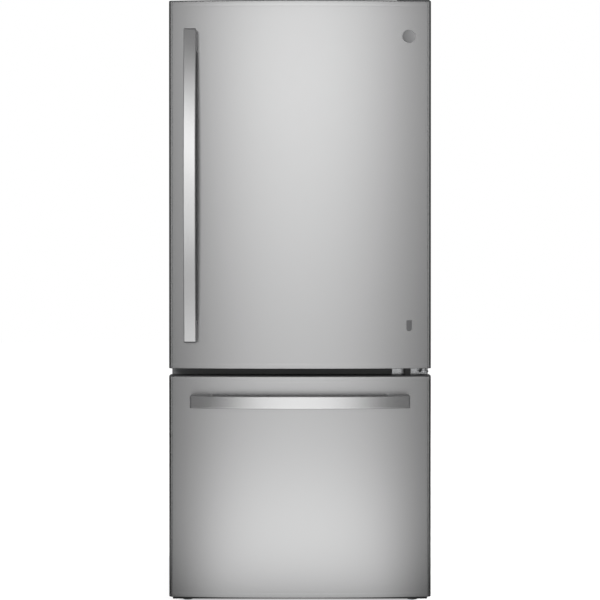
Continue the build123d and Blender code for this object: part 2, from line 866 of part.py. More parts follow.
def slide_inner(side):
    """Inner member with its ledge for the basket and its foot on the drawer."""
    right = (freezer_half - liner_wall - slide_sheet - running_gap - slide_groove_wall
             - running_gap)
    left = freezer_half - liner_wall - slide_depth - sheet
    foot = y_door_back + drawer_field
    end = y_slide + slide_length
    half = slide_height / 2 - slide_sheet - slide_groove_wall - 2 * running_gap
    member = block(left, right, foot, end, slide_z - half, slide_z + half)
    member += block(left - slide_ledge, left, foot, end, slide_z - half,
                    slide_z - half + slide_groove_wall)
    member += block(right - slide_foot_width, right, foot, foot + slide_sheet,
                    slide_z - slide_foot_height / 2, slide_z + slide_foot_height / 2)
    return member if side > 0 else mirror_x(member)


def basket_ledge_top():
    half = slide_height / 2 - slide_sheet - slide_groove_wall - 2 * running_gap
    return slide_z - half + slide_groove_wall


def basket_half():
    return freezer_half - liner_wall - slide_depth - sheet - slide_ledge


def slotted(shape, half, start, length, low, height):
    """Upright slots through both side walls."""
    pitch = length / basket_slots
    for i in range(basket_slots):
        middle = start + pitch * (i + 1 / 2)
        shape -= wide(half, middle - basket_slot_width / 2, middle + basket_slot_width / 2,
                      low, low + height)
    return shape


def lower_basket():
    """Deep basket that hangs by its rim on the slides' ledges."""
    half = basket_half() - running_gap
    start = y_basket
    floor = freezer_floor + liner_wall + basket_floor_gap
    top = slide_z + basket_top_gap
    rim = basket_ledge_top()
    basket = tub(-half, half, start, start + basket_length, floor, top, basket_wall, basket_wall)
    middle = (floor + rim) / 2
    basket = slotted(basket, half + sheet, start, basket_length,
                     middle - basket_slot_height / 2, basket_slot_height)
    for side in (-1, 1):
        x0, x1 = sorted((side * (half - basket_wall), side * (half + slide_ledge - sheet)))
        basket += block(x0, x1, start, start + basket_length, rim, rim + basket_wall)
    return basket


def upper_basket():
    """Shallow basket whose rim runs on the liner's ribs."""
    wall = freezer_half - liner_wall
    half = wall - tray_ledge_width - 2 * sheet
    start = y_slide
    floor = tray_ledge_height - tray_floor_drop
    basket = tub(-half, half, start, start + tray_length, floor, floor + tray_height,
                 basket_wall, basket_wall)
    basket = slotted(basket, half + sheet, start, tray_length,
                     floor + tray_height / 2 - tray_slot_height / 2 + tray_rim, tray_slot_height)
    for side in (-1, 1):
        x0, x1 = sorted((side * (half - basket_wall), side * (wall - 2 * sheet)))
        basket += block(x0, x1, start, start + tray_length, tray_ledge_height + fit_gap,
                        tray_ledge_height + fit_gap + tray_rim)
    return basket


# ---------------------------------------------------------------- fresh food interior
def shelf_half():
    return food_half - liner_wall - shelf_gap


def rimmed_frame(base, thickness):
    """A rectangular rim with a rebate for its glass."""
    half = shelf_half()
    end = y_inside + shelf_length
    frame = wide(half, y_inside, end, base, base + thickness)
    hole = shelf_rim
    seat = shelf_rim - glass_seat
    frame -= wide(half - hole, y_inside + hole, end - hole, base - sheet, base + thickness + sheet)
    frame -= wide(half - seat, y_inside + seat, end - seat, base + thickness - glass_thickness,
                  base + thickness + sheet)
    return frame


def glass_pane(base, thickness):
    half = shelf_half()
    seat = shelf_rim - glass_seat
    return wide(half - seat, y_inside + seat, y_inside + shelf_length - seat,
                base + thickness - glass_thickness, base + thickness)


def shelf_frames():
    return group(rimmed_frame(height, shelf_thickness) for height in shelf_heights())


def shelf_glass():
    panes = [glass_pane(height, shelf_thickness) for height in shelf_heights()]
    return group(panes + [glass_pane(cover_height, cover_thickness)])


def slider_slot(side, gap):
    """Space of a humidity slider's stem in the crisper cover's front rim."""
    left = side * food_half / 2 - slider_width / 2
    middle = cover_height + cover_thickness / 2
    return (left, left + slider_width, y_inside, y_inside + slider_depth + gap,
            middle - slider_height / 2 - gap, middle + slider_height / 2 + gap)


def crisper_cover():
    """Frame over the crispers with the upright that carries their inner rims."""
    frame = rimmed_frame(cover_height, cover_thickness)
    for side in (-1, 1):
        x0, x1, y0, y1, z0, z1 = slider_slot(side, running_gap)
        frame -= block(x0 - running_gap, x1 + slider_travel + running_gap, y0 - sheet, y1, z0, z1)
    start = y_inside + crisper_front
    end = start + crisper_length - crisper_front
    half = divider_wall / 2
    upright = wide(half, start, end, food_floor + liner_wall, cover_height)
    top = cover_height - runner_drop
    upright += wide(half + runner_width, start, end, top - runner_height, top)
    bridge = wide(half, y_inside, y_inside + shelf_length, cover_height,
                  cover_height + cover_thickness - glass_thickness)
    return frame + upright + bridge


def humidity_slider(side):
    x0, x1, y0, y1, z0, z1 = slider_slot(side, 0)
    stem = block(x0, x1, y0 - running_gap, y1, z0, z1)
    knob = block(x0, x1, y0 - slider_depth, y0 - running_gap, z0 - slider_height / 2,
                 z1 + slider_height / 2)
    return stem + knob


def crisper(side):
    """Clear drawer whose rims run on the liner's rib and on the upright's rib."""
    near = divider_wall / 2 + runner_width + crisper_side_gap
    far = food_half - liner_wall - runner_width - crisper_side_gap
    floor = food_floor + liner_wall + crisper_floor_gap
    top = cover_height - crisper_side_gap
    start = y_inside
    end = start + crisper_length
    body = block(near, far, start, end, floor, top)
    body = fillet(body.edges().filter_by(Axis.Z), crisper_corner)
    body -= block(near + crisper_wall, far - crisper_wall, start + crisper_front,
                  end - crisper_wall, floor + crisper_floor, top + crisper_floor)
    rim = cover_height - runner_drop + fit_gap
    back = start + crisper_rim_start
    body += block(near - runner_width - crisper_side_gap + sheet, near + crisper_wall / 2,
                  back, end - crisper_corner, rim, rim + crisper_rim)
    body += block(far - crisper_wall / 2, far + runner_width + crisper_side_gap - sheet,
                  back, end - crisper_corner, rim, rim + crisper_rim)
    middle = (near + far) / 2
    grip = block(middle - crisper_grip_width / 2, middle + crisper_grip_width / 2,
                 start - crisper_grip_depth, start, top - crisper_grip_height, top)
    grip -= block(middle - crisper_grip_width / 2 + crisper_wall,
                  middle + crisper_grip_width / 2 - crisper_wall,
                  start - crisper_grip_depth + crisper_wall, start, floor, top - crisper_wall)
    body += grip
    return body if side > 0 else mirror_x(body)


def air_tower():
    """Duct on the back wall, open in front through a column of slots."""
    back = food_back - liner_wall
    low = cover_height + cover_thickness + tower_bottom_gap
    high = food_top - liner_wall
    half = tower_width / 2
    tower = wide(half, back - tower_depth, back, low, high)
    tower -= wide(half - tower_wall, back - tower_depth + tower_wall, back + sheet,
                  low + tower_wall, high - tower_wall)
    pitch = (high - low) / (tower_slots + 1)
    for i in range(tower_slots):
        middle = low + pitch * (i + 1)
        tower -= wide(tower_slot_width / 2, back - tower_depth - sheet,
                      back - tower_depth + tower_wall + sheet,
                      middle - tower_slot_height / 2, middle + tower_slot_height / 2)
    return tower


def control_front():
    return y_inside + control_setback


def dial_z():
    return control_bottom + control_height / 2


def control_housing():
    """Open-topped housing under the liner's roof, with a bore for each dial."""
    front = control_front()
    top = food_top - liner_wall
    half = control_width / 2
    housing = wide(half, front, front + control_depth, control_bottom, top)
    housing -= wide(half - control_wall, front + control_wall, front + control_depth - control_wall,
                    control_bottom + control_wall, top + sheet)
    for side in (-1, 1):
        housing -= rod_y(side * dial_x, dial_z(), dial_shaft_radius + bore_gap, front - sheet,
                         front + control_wall + sheet)
    return housing


def control_dial(side):
    front = control_front() - running_gap
    disc = rod_y(side * dial_x, dial_z(), dial_radius, front - dial_depth / 2, front)
    bar = block(side * dial_x - dial_bar / 2, side * dial_x + dial_bar / 2, front - dial_depth,
                front, dial_z() - dial_radius + sheet, dial_z() + dial_radius - sheet)
    shaft = rod_y(side * dial_x, dial_z(), dial_shaft_radius, front, front + dial_shaft_length)
    return disc + bar + shaft


def light_lens():
    front = control_front() + (control_depth - lens_depth) / 2
    lens = wide(lens_width / 2, front, front + lens_depth, control_bottom - lens_height,
                control_bottom)
    return fillet(lens.faces().sort_by(Axis.Z)[0].edges(), lens_height / 2)


def light_switch():
    front = y_door_back + fit_gap
    return rod_y(switch_x, switch_z(), switch_radius, front, front + switch_length)


# ---------------------------------------------------------------- cooling system
def evaporator_back():
    return freezer_back - liner_wall


def evaporator():
    """Finned coil whose end plates stand on the freezer's back wall."""
    half = freezer_half - liner_wall - evaporator_side_gap
    back = evaporator_back()
    low = z_step + liner_wall + evaporator_rise
    height = freezer_fan_z() - fan_radius - evaporator_fan_gap - low
    front = back - evaporator_rise / 2 - evaporator_depth
    pitch = (2 * half - evaporator_plate) / (evaporator_fins - 1)
    coil = None
    for i in range(evaporator_fins):
        left = -half + pitch * i
        end = i in (0, evaporator_fins - 1)
        fin = block(left, left + (evaporator_plate if end else sheet), front,
                    back if end else front + evaporator_depth, low, low + height)
        coil = fin if coil is None else coil + fin
    step = height / evaporator_rows
    for i in range(evaporator_rows):
        middle = front + evaporator_depth * (1 + i % 2) / 3
        coil += rod_x(middle, low + step * (i + 1 / 2), evaporator_tube, -half - evaporator_tube,
                      half + evaporator_tube)
    return coil


def freezer_cover_front():
    return evaporator_back() - evaporator_rise / 2 - evaporator_depth - cover_gap - cover_wall


def freezer_fan_z():
    return freezer_top - liner_wall - fan_rise


def evaporator_cover():
    """Panel across the freezer's back, with slots at the fan and at the floor."""
    front = freezer_cover_front()
    half = freezer_half - liner_wall
    low = z_step + liner_wall
    cover = wide(half, front, front + cover_wall, low, freezer_top - liner_wall)
    pitch = 2 * fan_opening_radius / cover_vents
    for i in range(cover_vents):
        middle = freezer_fan_z() - fan_opening_radius + pitch * (i + 1 / 2)
        reach = (fan_opening_radius ** 2 - (middle - freezer_fan_z()) ** 2) ** 0.5
        cover -= wide(reach, front - sheet, front + cover_wall + sheet,
                      middle - pitch / 4, middle + pitch / 4)
    pitch = 2 * half / basket_slots
    for i in range(basket_slots):
        left = -half + pitch * (i + 1 / 4)
        cover -= block(left, left + pitch / 2, front - sheet, front + cover_wall + sheet,
                       low + evaporator_rise, low + evaporator_rise + tower_slot_height)
    return cover


def fan_blade():
    """Fan with its hub's front face at zero, on the Z axis."""
    hub = Pos(0, 0, fan_hub_length / 2) * Cylinder(fan_hub_radius, fan_hub_length)
    reach = fan_radius + fan_hub_radius
    fan = hub
    for i in range(fan_blades):
        vane = Box(reach, fan_hub_radius * 2, fan_blade_thickness)
        vane = Pos(reach / 2, 0, fan_hub_length / 2) * Rot(fan_blade_pitch, 0, 0) * vane
        fan += Rot(0, 0, 360 * i / fan_blades) * vane
    fan &= Pos(0, 0, fan_hub_length / 2) * Cylinder(fan_radius, 2 * fan_hub_length)
    return fan - Cylinder(motor_shaft_radius + bore_gap, 4 * fan_hub_length)


def fan_motor(mount):
    """Motor behind the fan, on two posts that reach the mounting face at mount."""
    start = fan_hub_length + motor_arm
    body = Pos(0, 0, start + motor_length / 2) * Cylinder(motor_radius, motor_length)
    body += Pos(0, 0, start / 2 + motor_arm / 2) * Cylinder(motor_shaft_radius, start + motor_arm)
    bar_z = start + motor_length / 2
    body += Pos(0, 0, bar_z) * Box(2 * motor_arm_reach, motor_arm, motor_arm)
    for side in (-1, 1):
        middle = (mount + bar_z) / 2
        body += Pos(side * motor_arm_reach, 0, middle) * Cylinder(motor_arm / 2, bar_z - mount)
    return body


def freezer_fan_place():
    behind = freezer_cover_front() + cover_wall + motor_arm / 2
    return Pos(0, behind, freezer_fan_z()) * Rot(-90, 0, 0)


def condenser_fan_place():
    return Pos(condenser_fan_x, y_machine_middle, z_base + condenser_fan_rise) * Rot(0, 90, 0)


def fan_motors():
    """The freezer fan's motor and the condenser fan's, the latter with its shroud."""
    freezer = freezer_fan_place() * fan_motor(-motor_arm / 2)
    plate = Box(2 * (condenser_fan_rise - running_gap), 2 * (motor_arm_reach + motor_arm), cover_wall)
    plate = Pos(0, 0, -motor_arm) * plate
    plate -= Cylinder(fan_opening_radius, 4 * motor_arm)
    shroud = condenser_fan_place() * (fan_motor(-motor_arm) + plate)
    return group([freezer, shroud])


def compressor():
    """Domed steel shell welded to its plate, on four rubber grommets."""
    y_mid = y_machine_middle
    low = z_base + compressor_foot
    body = rod_z(compressor_x, y_mid, compressor_radius, low, low + compressor_height)
    body = fillet(body.edges().filter_by(GeomType.CIRCLE), compressor_radius / 3)
    reach = compressor_radius + compressor_foot_radius
    plate = block(compressor_x - reach, compressor_x + reach, y_mid - compressor_radius,
                  y_mid + compressor_radius, low, low + compressor_plate)
    across = compressor_radius
    along = compressor_radius - compressor_foot_radius
    grommets = [rod_z(compressor_x + i * across, y_mid + j * along, compressor_foot_radius, z_base, low)
                for i in (-1, 1) for j in (-1, 1)]
    return group([body + plate, *grommets])


def condenser_rows():
    """Y of each run of the condenser's tube, front to back."""
    first = y_machine_middle - condenser_pitch * (condenser_runs - 1) / 2
    return [first + condenser_pitch * i for i in range(condenser_runs)]


def condenser_coil():
    """Serpentine tube from the compressor, with wires across it, on four legs."""
    height = z_base + condenser_rise
    rows = condenser_rows()
    inlet = rows[0] - condenser_pitch
    points = [(compressor_x, y_machine_middle - compressor_radius - running_gap, height),
              (compressor_x, inlet, height), (condenser_right, inlet, height)]
    for i, y in enumerate(rows):
        ends = (condenser_right, condenser_left) if i % 2 == 0 else (condenser_left, condenser_right)
        points += [(x, y, height) for x in ends]
    path = FilletPolyline(*points, radius=condenser_bend)
    section = Plane(path @ 0, z_dir=path % 0) * Circle(condenser_tube)
    coil = sweep(section, path)
    pitch = (condenser_right - condenser_left) / (condenser_wires + 1)
    for i in range(condenser_wires):
        coil += rod_y(condenser_left + pitch * (i + 1), height + condenser_tube + condenser_wire / 3,
                      condenser_wire, rows[0] - condenser_tube, rows[-1] + condenser_tube)
    for x in (condenser_left + condenser_pitch, condenser_right - condenser_pitch):
        for y in (rows[0], rows[-1]):
            coil += rod_z(x, y, condenser_tube * 2 / 3, z_base, height)
    return coil


def drain_pan():
    rows = condenser_rows()
    return tub(condenser_left, condenser_right, rows[0] + drain_margin, rows[-1] - drain_margin,
               z_base, z_base + drain_height, drain_wall, drain_wall)


def machine_cover():
    """Vented plate that closes the machine compartment."""
    back = y_back - cover_recess
    half = case_half - sheet
    cover = wide(half, back - sheet, back, z_base, z_machine)
    pitch = (z_machine - z_base) / (cover_slots + 2)
    for side in (-1, 1):
        for i in range(cover_slots):
            middle = z_base + pitch * (i + 3 / 2)
            for j in range(2):
                x = side * (cover_slot_width * (1 + 3 / 2 * j))
                cover -= block(x - cover_slot_width / 2, x + cover_slot_width / 2,
                               back - 2 * sheet, back + sheet,
                               middle - cover_slot_height / 2, middle + cover_slot_height / 2)
    return cover - rod_y(gland_x, z_base + gland_rise, gland_neck_radius, back - 2 * sheet, back + sheet)


def cord_gland():
    """Grommet in the machine cover, with the bore for the supply cord."""
    back = y_back - cover_recess
    z = z_base + gland_rise
    gland = rod_y(gland_x, z, gland_neck_radius, back + gland_flange - gland_length, back + gland_flange)
    gland += rod_y(gland_x, z, gland_flange_radius, back, back + gland_flange)
    gland += rod_y(gland_x, z, gland_flange_radius, back - sheet - gland_flange, back - sheet)
    return gland - rod_y(gland_x, z, gland_bore_radius, back - gland_length, back + gland_length)


# ---------------------------------------------------------------- the assembly
nodes = {
    "cabinet_shell": cabinet_shell(),
    "back_panel": back_panel(),
    "cabinet_foam": cabinet_foam(),
    "fresh_food_liner": fresh_food_liner(),
    "freezer_liner": freezer_liner(),
    "front_rails": front_rails(),
    "base_frame": base_frame(),
    "base_grille": base_grille(),
    "roller_left": roller(-1),
    "roller_right": roller(1),
    "levelling_leg_left": levelling_leg(-1),
    "levelling_leg_right": levelling_leg(1),
    "top_hinge": top_hinge(),
    "top_hinge_cover": top_hinge_cover(),
    "middle_hinge": middle_hinge(),
    "hinge_screws": hinge_screws(),
    "door_skin": panel_skin(z_door, z_door_top),
    "door_foam": panel_foam(z_door, z_door_top),
    "door_liner": door_liner(),
    "door_end_caps": door_end_caps(),
    "door_gasket": gasket_ring(food_half, food_floor, food_top),
    "door_handle": door_handle(),
    "round_badge": round_badge(),
    "tag_plate": tag_plate(),
    "door_bins": door_bins(),
    "dairy_lid": dairy_lid(),
    "drawer_skin": panel_skin(drawer_bottom, z_drawer_top),
    "drawer_foam": panel_foam(drawer_bottom, z_drawer_top),
    "drawer_inner_panel": drawer_inner_panel(),
    "drawer_end_caps": group([panel_cap(drawer_bottom), panel_cap(z_drawer_top - door_cap_height)]),
    "drawer_gasket": gasket_ring(freezer_half, freezer_floor, freezer_top),
    "drawer_handle": drawer_handle(),
    "slide_outer_members": group(both(slide_outer)),
    "slide_middle_members": group(both(slide_middle)),
    "slide_inner_members": group(both(slide_inner)),
    "lower_basket": lower_basket(),
    "upper_basket": upper_basket(),
    "shelf_frames": shelf_frames(),
    "shelf_glass": shelf_glass(),
    "crisper_cover": crisper_cover(),
    "crisper_left": crisper(-1),
    "crisper_right": crisper(1),
    "humidity_slider_left": humidity_slider(-1),
    "humidity_slider_right": humidity_slider(1),
    "air_tower": air_tower(),
    "control_housing": control_housing(),
    "fridge_dial": control_dial(-1),
    "freezer_dial": control_dial(1),
    "light_lens": light_lens(),
    "light_switch": light_switch(),
    "evaporator": evaporator(),
    "evaporator_cover": evaporator_cover(),
    "evaporator_fan": freezer_fan_place() * fan_blade(),
    "condenser_fan": condenser_fan_place() * fan_blade(),
    "fan_motors": fan_motors(),
    "compressor": compressor(),
    "condenser_coil": condenser_coil(),
    "drain_pan": drain_pan(),
    "machine_cover": machine_cover(),
    "cord_gland": cord_gland(),
}

os.makedirs("parts", exist_ok=True)
for name, shape in nodes.items():
    export_step(shape, f"parts/{name}.step")
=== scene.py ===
"""Looks of the bottom freezer refrigerator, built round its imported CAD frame."""
import json
import math

import bmesh
import bpy
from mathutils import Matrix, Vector


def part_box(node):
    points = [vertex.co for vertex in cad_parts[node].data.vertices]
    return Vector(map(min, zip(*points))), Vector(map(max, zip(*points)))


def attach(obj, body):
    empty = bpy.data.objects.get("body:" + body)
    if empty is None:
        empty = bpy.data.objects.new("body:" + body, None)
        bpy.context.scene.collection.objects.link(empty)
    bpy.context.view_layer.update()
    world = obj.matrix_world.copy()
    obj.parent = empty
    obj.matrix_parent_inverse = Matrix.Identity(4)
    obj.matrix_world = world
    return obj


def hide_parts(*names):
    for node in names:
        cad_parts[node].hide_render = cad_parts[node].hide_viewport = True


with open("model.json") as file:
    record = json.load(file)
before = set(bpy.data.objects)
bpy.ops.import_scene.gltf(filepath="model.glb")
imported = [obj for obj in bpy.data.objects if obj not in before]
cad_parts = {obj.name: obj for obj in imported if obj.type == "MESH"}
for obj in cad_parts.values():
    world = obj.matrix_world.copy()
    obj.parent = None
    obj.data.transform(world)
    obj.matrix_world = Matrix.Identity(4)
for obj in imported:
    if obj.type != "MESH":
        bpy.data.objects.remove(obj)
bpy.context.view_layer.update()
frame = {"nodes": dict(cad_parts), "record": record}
nodes = frame["nodes"]
scene = bpy.context.scene

# ---------------------------------------------------------------- studio
# A pale floor, a soft white surround and three soft boxes. Polished metal sees a bright
# middle with dark flags at both sides, which gives the doors their long soft gradient.
camera_distance = 4.675
camera_height = 1.004
camera_dip = math.radians(0.36)
camera_lens = 89.65
camera_film = 36.0
camera_shift = -0.05
camera_reach = 60.0
flag_places = ((0.0, 1.0), (0.046, 1.0), (0.067, 0.40), (0.085, 0.05), (0.15, 0.07), (0.21, 0.50),
               (0.28, 0.60), (0.34, 0.10), (0.43, 0.02), (0.62, 0.02), (0.80, 0.20), (1.0, 0.26))
flag_focus = 1.15
sky_places = ((0.0, 0.555), (0.035, 0.353), (0.08, 0.58), (0.125, 1.0), (0.165, 0.927),
              (0.22, 0.51), (0.28, 0.15), (0.34, 0.032), (0.44, 0.044), (0.60, 0.296),
              (1.0, 0.444))
sky_level = 2.295
side_turn = (0.13, 0.20)
side_level = 0.62
surround_level = 0.62
shine_places = ((0.0, 0.169), (0.03, 0.194), (0.07, 0.324), (0.16, 0.839), (0.3, 0.998),
                (0.5, 0.908), (1.0, 0.318))
shine_reach = 6.0
shine_level = 1.314
floor_reach = 14.0
floor_sides = 96
floor_tones = (0.79, 0.83)
floor_mottle = 6.0
floor_glow = 0.52
whole = (0.0, 1.0)
white = (1, 1, 1, 1)
soft_boxes = (("key_box", (-3.2, -3.6, 3.4), 2.2, 120),
              ("fill_box", (3.6, -2.6, 2.4), 2.2, 60),
              ("back_box", (3.4, 3.0, 2.6), 1.6, 170))
box_aim = Vector((0, 0, 0.9))


def placed(name, data):
    """A new object in the scene for a mesh, curve, lamp or camera."""
    thing = bpy.data.objects.new(name, data)
    scene.collection.objects.link(thing)
    return thing


def add(tree, kind, **inputs):
    """A node with some of its inputs set by name."""
    node = tree.nodes.new(kind)
    for key, value in inputs.items():
        node.inputs[key].default_value = value
    return node


def reckon(tree, operation, first, second=None):
    """A Math node on one or two sockets or numbers; gives its output."""
    node = tree.nodes.new("ShaderNodeMath")
    node.operation = operation
    for place, value in enumerate((first, second)):
        if value is None:
            continue
        if isinstance(value, (int, float)):
            node.inputs[place].default_value = value
        else:
            tree.links.new(value, node.inputs[place])
    return node.outputs[0]


def rescaled(tree, value, taken, given):
    """A Map Range node that turns one (low, high) pair into another; gives its output."""
    node = tree.nodes.new("ShaderNodeMapRange")
    for key, limit in zip(("From Min", "From Max", "To Min", "To Max"), (*taken, *given)):
        node.inputs[key].default_value = limit
    tree.links.new(value, node.inputs["Value"])
    return node.outputs[0]


def ramp(tree, value, places):
    """A smooth curve of grey levels through (place, level) pairs; gives its output."""
    curve = tree.nodes.new("ShaderNodeValToRGB")
    curve.color_ramp.interpolation = "B_SPLINE"
    stops = curve.color_ramp.elements
    while len(stops) < len(places):
        stops.new(0.5)
    for stop, (place, level) in zip(stops, places):
        stop.position = place
        stop.color = (level, level, level, 1)
    tree.links.new(value, curve.inputs[0])
    return curve.outputs[0]


def mixed(tree, share, first, second):
    """A Mix Shader node between two shaders; gives its output."""
    node = tree.nodes.new("ShaderNodeMixShader")
    for place, socket in enumerate((share, first, second)):
        tree.links.new(socket, node.inputs[place])
    return node.outputs[0]


def kinds_of_ray(tree):
    """Whether a ray is glossy, and whether it is the camera's or through glass, each 0 or 1."""
    ray = tree.nodes.new("ShaderNodeLightPath").outputs
    seen = reckon(tree, "MAXIMUM", ray["Is Camera Ray"], ray["Is Transmission Ray"])
    return ray["Is Glossy Ray"], seen


def flags(tree, direction):
    """The flags' level towards a direction, its X, Y and Z, and its turn from the front, 0 to 1."""
    parts = tree.nodes.new("ShaderNodeSeparateXYZ")
    tree.links.new(direction, parts.inputs[0])
    across = reckon(tree, "ABSOLUTE", parts.outputs["X"])
    ahead = reckon(tree, "MULTIPLY", parts.outputs["Y"], -1.0)
    turn = reckon(tree, "DIVIDE", reckon(tree, "ARCTAN2", across, ahead), math.pi)
    return ramp(tree, turn, flag_places), parts.outputs, turn


def make_surround():
    """The world: flags and a graded sky for gloss, soft light, and plain white to the camera."""
    world = bpy.data.worlds.new("surround")
    scene.world = world
    world.use_nodes = True
    tree = world.node_tree
    tree.nodes.clear()
    towards = tree.nodes.new("ShaderNodeTexCoord")
    level, parts, turn = flags(tree, towards.outputs["Generated"])
    strength = add(tree, "ShaderNodeMix", B=side_level * sky_level)
    tree.links.new(rescaled(tree, turn, side_turn, whole), strength.inputs["Factor"])
    tree.links.new(reckon(tree, "MULTIPLY", ramp(tree, parts["Z"], sky_places), sky_level),
                   strength.inputs["A"])
    mirror = tree.nodes.new("ShaderNodeBackground")
    tree.links.new(level, mirror.inputs["Color"])
    tree.links.new(strength.outputs[0], mirror.inputs["Strength"])
    soft = add(tree, "ShaderNodeBackground", Color=white, Strength=surround_level)
    plain = add(tree, "ShaderNodeBackground", Color=white, Strength=1.0)
    glossy, seen = kinds_of_ray(tree)
    unseen = mixed(tree, glossy, soft.outputs[0], mirror.outputs[0])
    out = tree.nodes.new("ShaderNodeOutputWorld")
    tree.links.new(mixed(tree, seen, unseen, plain.outputs[0]), out.inputs[0])


def make_floor():
    """A matt floor that keeps the shadow, looks white, and gives gloss the flags' reflection."""
    bpy.ops.mesh.primitive_circle_add(vertices=floor_sides, radius=floor_reach, fill_type="NGON")
    floor = bpy.context.object
    floor.name = "studio_floor"
    material = bpy.data.materials.new("studio_floor")
    material.use_nodes = True
    tree = material.node_tree
    tree.nodes.clear()
    place = tree.nodes.new("ShaderNodeTexCoord").outputs["Object"]
    behind = add(tree, "ShaderNodeMapping", Location=(0, -flag_focus, 0))
    tree.links.new(place, behind.inputs["Vector"])
    level, parts, _ = flags(tree, behind.outputs[0])
    ahead = reckon(tree, "SUBTRACT", reckon(tree, "MULTIPLY", parts["Y"], -1.0), flag_focus)
    near = ramp(tree, reckon(tree, "DIVIDE", ahead, shine_reach), shine_places)
    mottle = add(tree, "ShaderNodeTexNoise", Scale=floor_mottle)
    tree.links.new(place, mottle.inputs["Vector"])
    matt = tree.nodes.new("ShaderNodeBsdfDiffuse")
    tree.links.new(rescaled(tree, mottle.outputs["Fac"], whole, floor_tones), matt.inputs["Color"])
    glow = add(tree, "ShaderNodeEmission", Color=white, Strength=floor_glow)
    pale = tree.nodes.new("ShaderNodeAddShader")
    tree.links.new(matt.outputs[0], pale.inputs[0])
    tree.links.new(glow.outputs[0], pale.inputs[1])
    shine = tree.nodes.new("ShaderNodeEmission")
    tree.links.new(level, shine.inputs["Color"])
    tree.links.new(reckon(tree, "MULTIPLY", near, shine_level), shine.inputs["Strength"])
    glossy, seen = kinds_of_ray(tree)
    lit = mixed(tree, seen, matt.outputs[0], pale.outputs[0])
    out = tree.nodes.new("ShaderNodeOutputMaterial")
    tree.links.new(mixed(tree, glossy, lit, shine.outputs[0]), out.inputs[0])
    floor.data.materials.append(material)


def soft_box(name, place, side, power):
    """A square lamp aimed at the object, kept out of reflections."""
    lamp = bpy.data.lights.new(name, "AREA")
    lamp.shape = "RECTANGLE"
    lamp.size = side
    lamp.size_y = side
    lamp.energy = power
    holder = placed(name, lamp)
    holder.location = place
    holder.rotation_euler = (box_aim - Vector(place)).to_track_quat("-Z", "Y").to_euler()
    holder.visible_glossy = False


def make_camera():
    """The photograph's view: a long lens in front, almost level, with a small shift."""
    lens = bpy.data.cameras.new("camera")
    lens.lens = camera_lens
    lens.sensor_width = camera_film
    lens.shift_y = camera_shift
    lens.clip_end = camera_reach
    holder = placed("camera", lens)
    holder.location = (0, -camera_distance, camera_height)
    holder.rotation_euler = (math.pi / 2 - camera_dip, 0, 0)
    scene.camera = holder


make_surround()
make_floor()
for name, place, side, power in soft_boxes:
    soft_box(name, place, side, power)
make_camera()
scene.view_settings.view_transform = "Standard"

# ---------------------------------------------------------------- case
# The outer case is one sheet of prepainted steel, bent over the sides and the roof, with a
# fine pebbled grey enamel. Strips of the same sheet frame the two openings, and foam is
# poured between the case and the liners.
enamel_grey = (0.165, 0.168, 0.172)
pebble_size = 0.0016
pebble_depth = 0.00012
shell_edge = 0.0008
rail_edge = 0.0004
foam_yellow = (0.80, 0.70, 0.42)
foam_face = 0.002
foam_clearance = 0.005
merge_reach = 0.00001
flat_angle = math.radians(0.5)
sharp_angle = math.radians(30)
shading_angle = math.radians(50)
round_steps = 2
grain_levels = (0.3, 0.7)
record = frame["record"]
body_of = {node: body for body, members in record["behaviour"]["bodies"].items()
           for node in members}
slot_of = {part["node"]: part["material_slot"] for part in record["subparts"]}


def finish(name, colour, rough, metallic=0.0, drift=0.05, drift_size=0.12, rough_drift=0.05,
           grain=0.002, depth=0.0, alpha=1.0):
    """A material whose colour and gloss drift slowly, over a fine grain.

    The grain is one size or one for each axis, and a depth makes it stand out as bump.
    """
    material = bpy.data.materials.new(name)
    material.use_nodes = True
    tree = material.node_tree
    surface = tree.nodes["Principled BSDF"]
    surface.inputs["Metallic"].default_value = metallic
    surface.inputs["Alpha"].default_value = alpha
    place = tree.nodes.new("ShaderNodeTexCoord").outputs["Object"]
    slow = add(tree, "ShaderNodeTexNoise", Scale=1 / drift_size, Detail=3.0)
    tree.links.new(place, slow.inputs["Vector"])
    tone = tree.nodes.new("ShaderNodeMix")
    tone.data_type = "RGBA"
    for socket in tone.inputs:
        if socket.type == "RGBA":
            share = 1 - drift if socket.name == "A" else 1 + drift
            socket.default_value = (*[min(1, c * share) for c in colour], 1)
    tree.links.new(slow.outputs["Fac"], tone.inputs["Factor"])
    tree.links.new([o for o in tone.outputs if o.type == "RGBA"][0], surface.inputs["Base Color"])
    sizes = grain if isinstance(grain, tuple) else (grain,) * 3
    scaled = add(tree, "ShaderNodeMapping", Scale=[1 / size for size in sizes])
    tree.links.new(place, scaled.inputs["Vector"])
    fine = add(tree, "ShaderNodeTexNoise", Scale=1.0, Detail=2.0)
    tree.links.new(scaled.outputs[0], fine.inputs["Vector"])
    limits = (rough - rough_drift, rough + rough_drift)
    gloss = rescaled(tree, fine.outputs["Fac"], grain_levels, limits)
    tree.links.new(gloss, surface.inputs["Roughness"])
    if depth:
        bump = add(tree, "ShaderNodeBump", Strength=1.0, Distance=depth)
        tree.links.new(fine.outputs["Fac"], bump.inputs["Height"])
        tree.links.new(bump.outputs[0], surface.inputs["Normal"])
    return material


def plain_mesh(thing):
    """The mesh that an object's modifiers, or its curve or text, come to."""
    graph = bpy.context.evaluated_depsgraph_get()
    return bpy.data.meshes.new_from_object(thing.evaluated_get(graph))


def settle(piece, body, replaced):
    """Keeps what a piece's modifiers make of it, and ties the piece to the frame."""
    piece.data = plain_mesh(piece)
    piece.modifiers.clear()
    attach(piece, body)
    if replaced:
        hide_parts(*replaced)


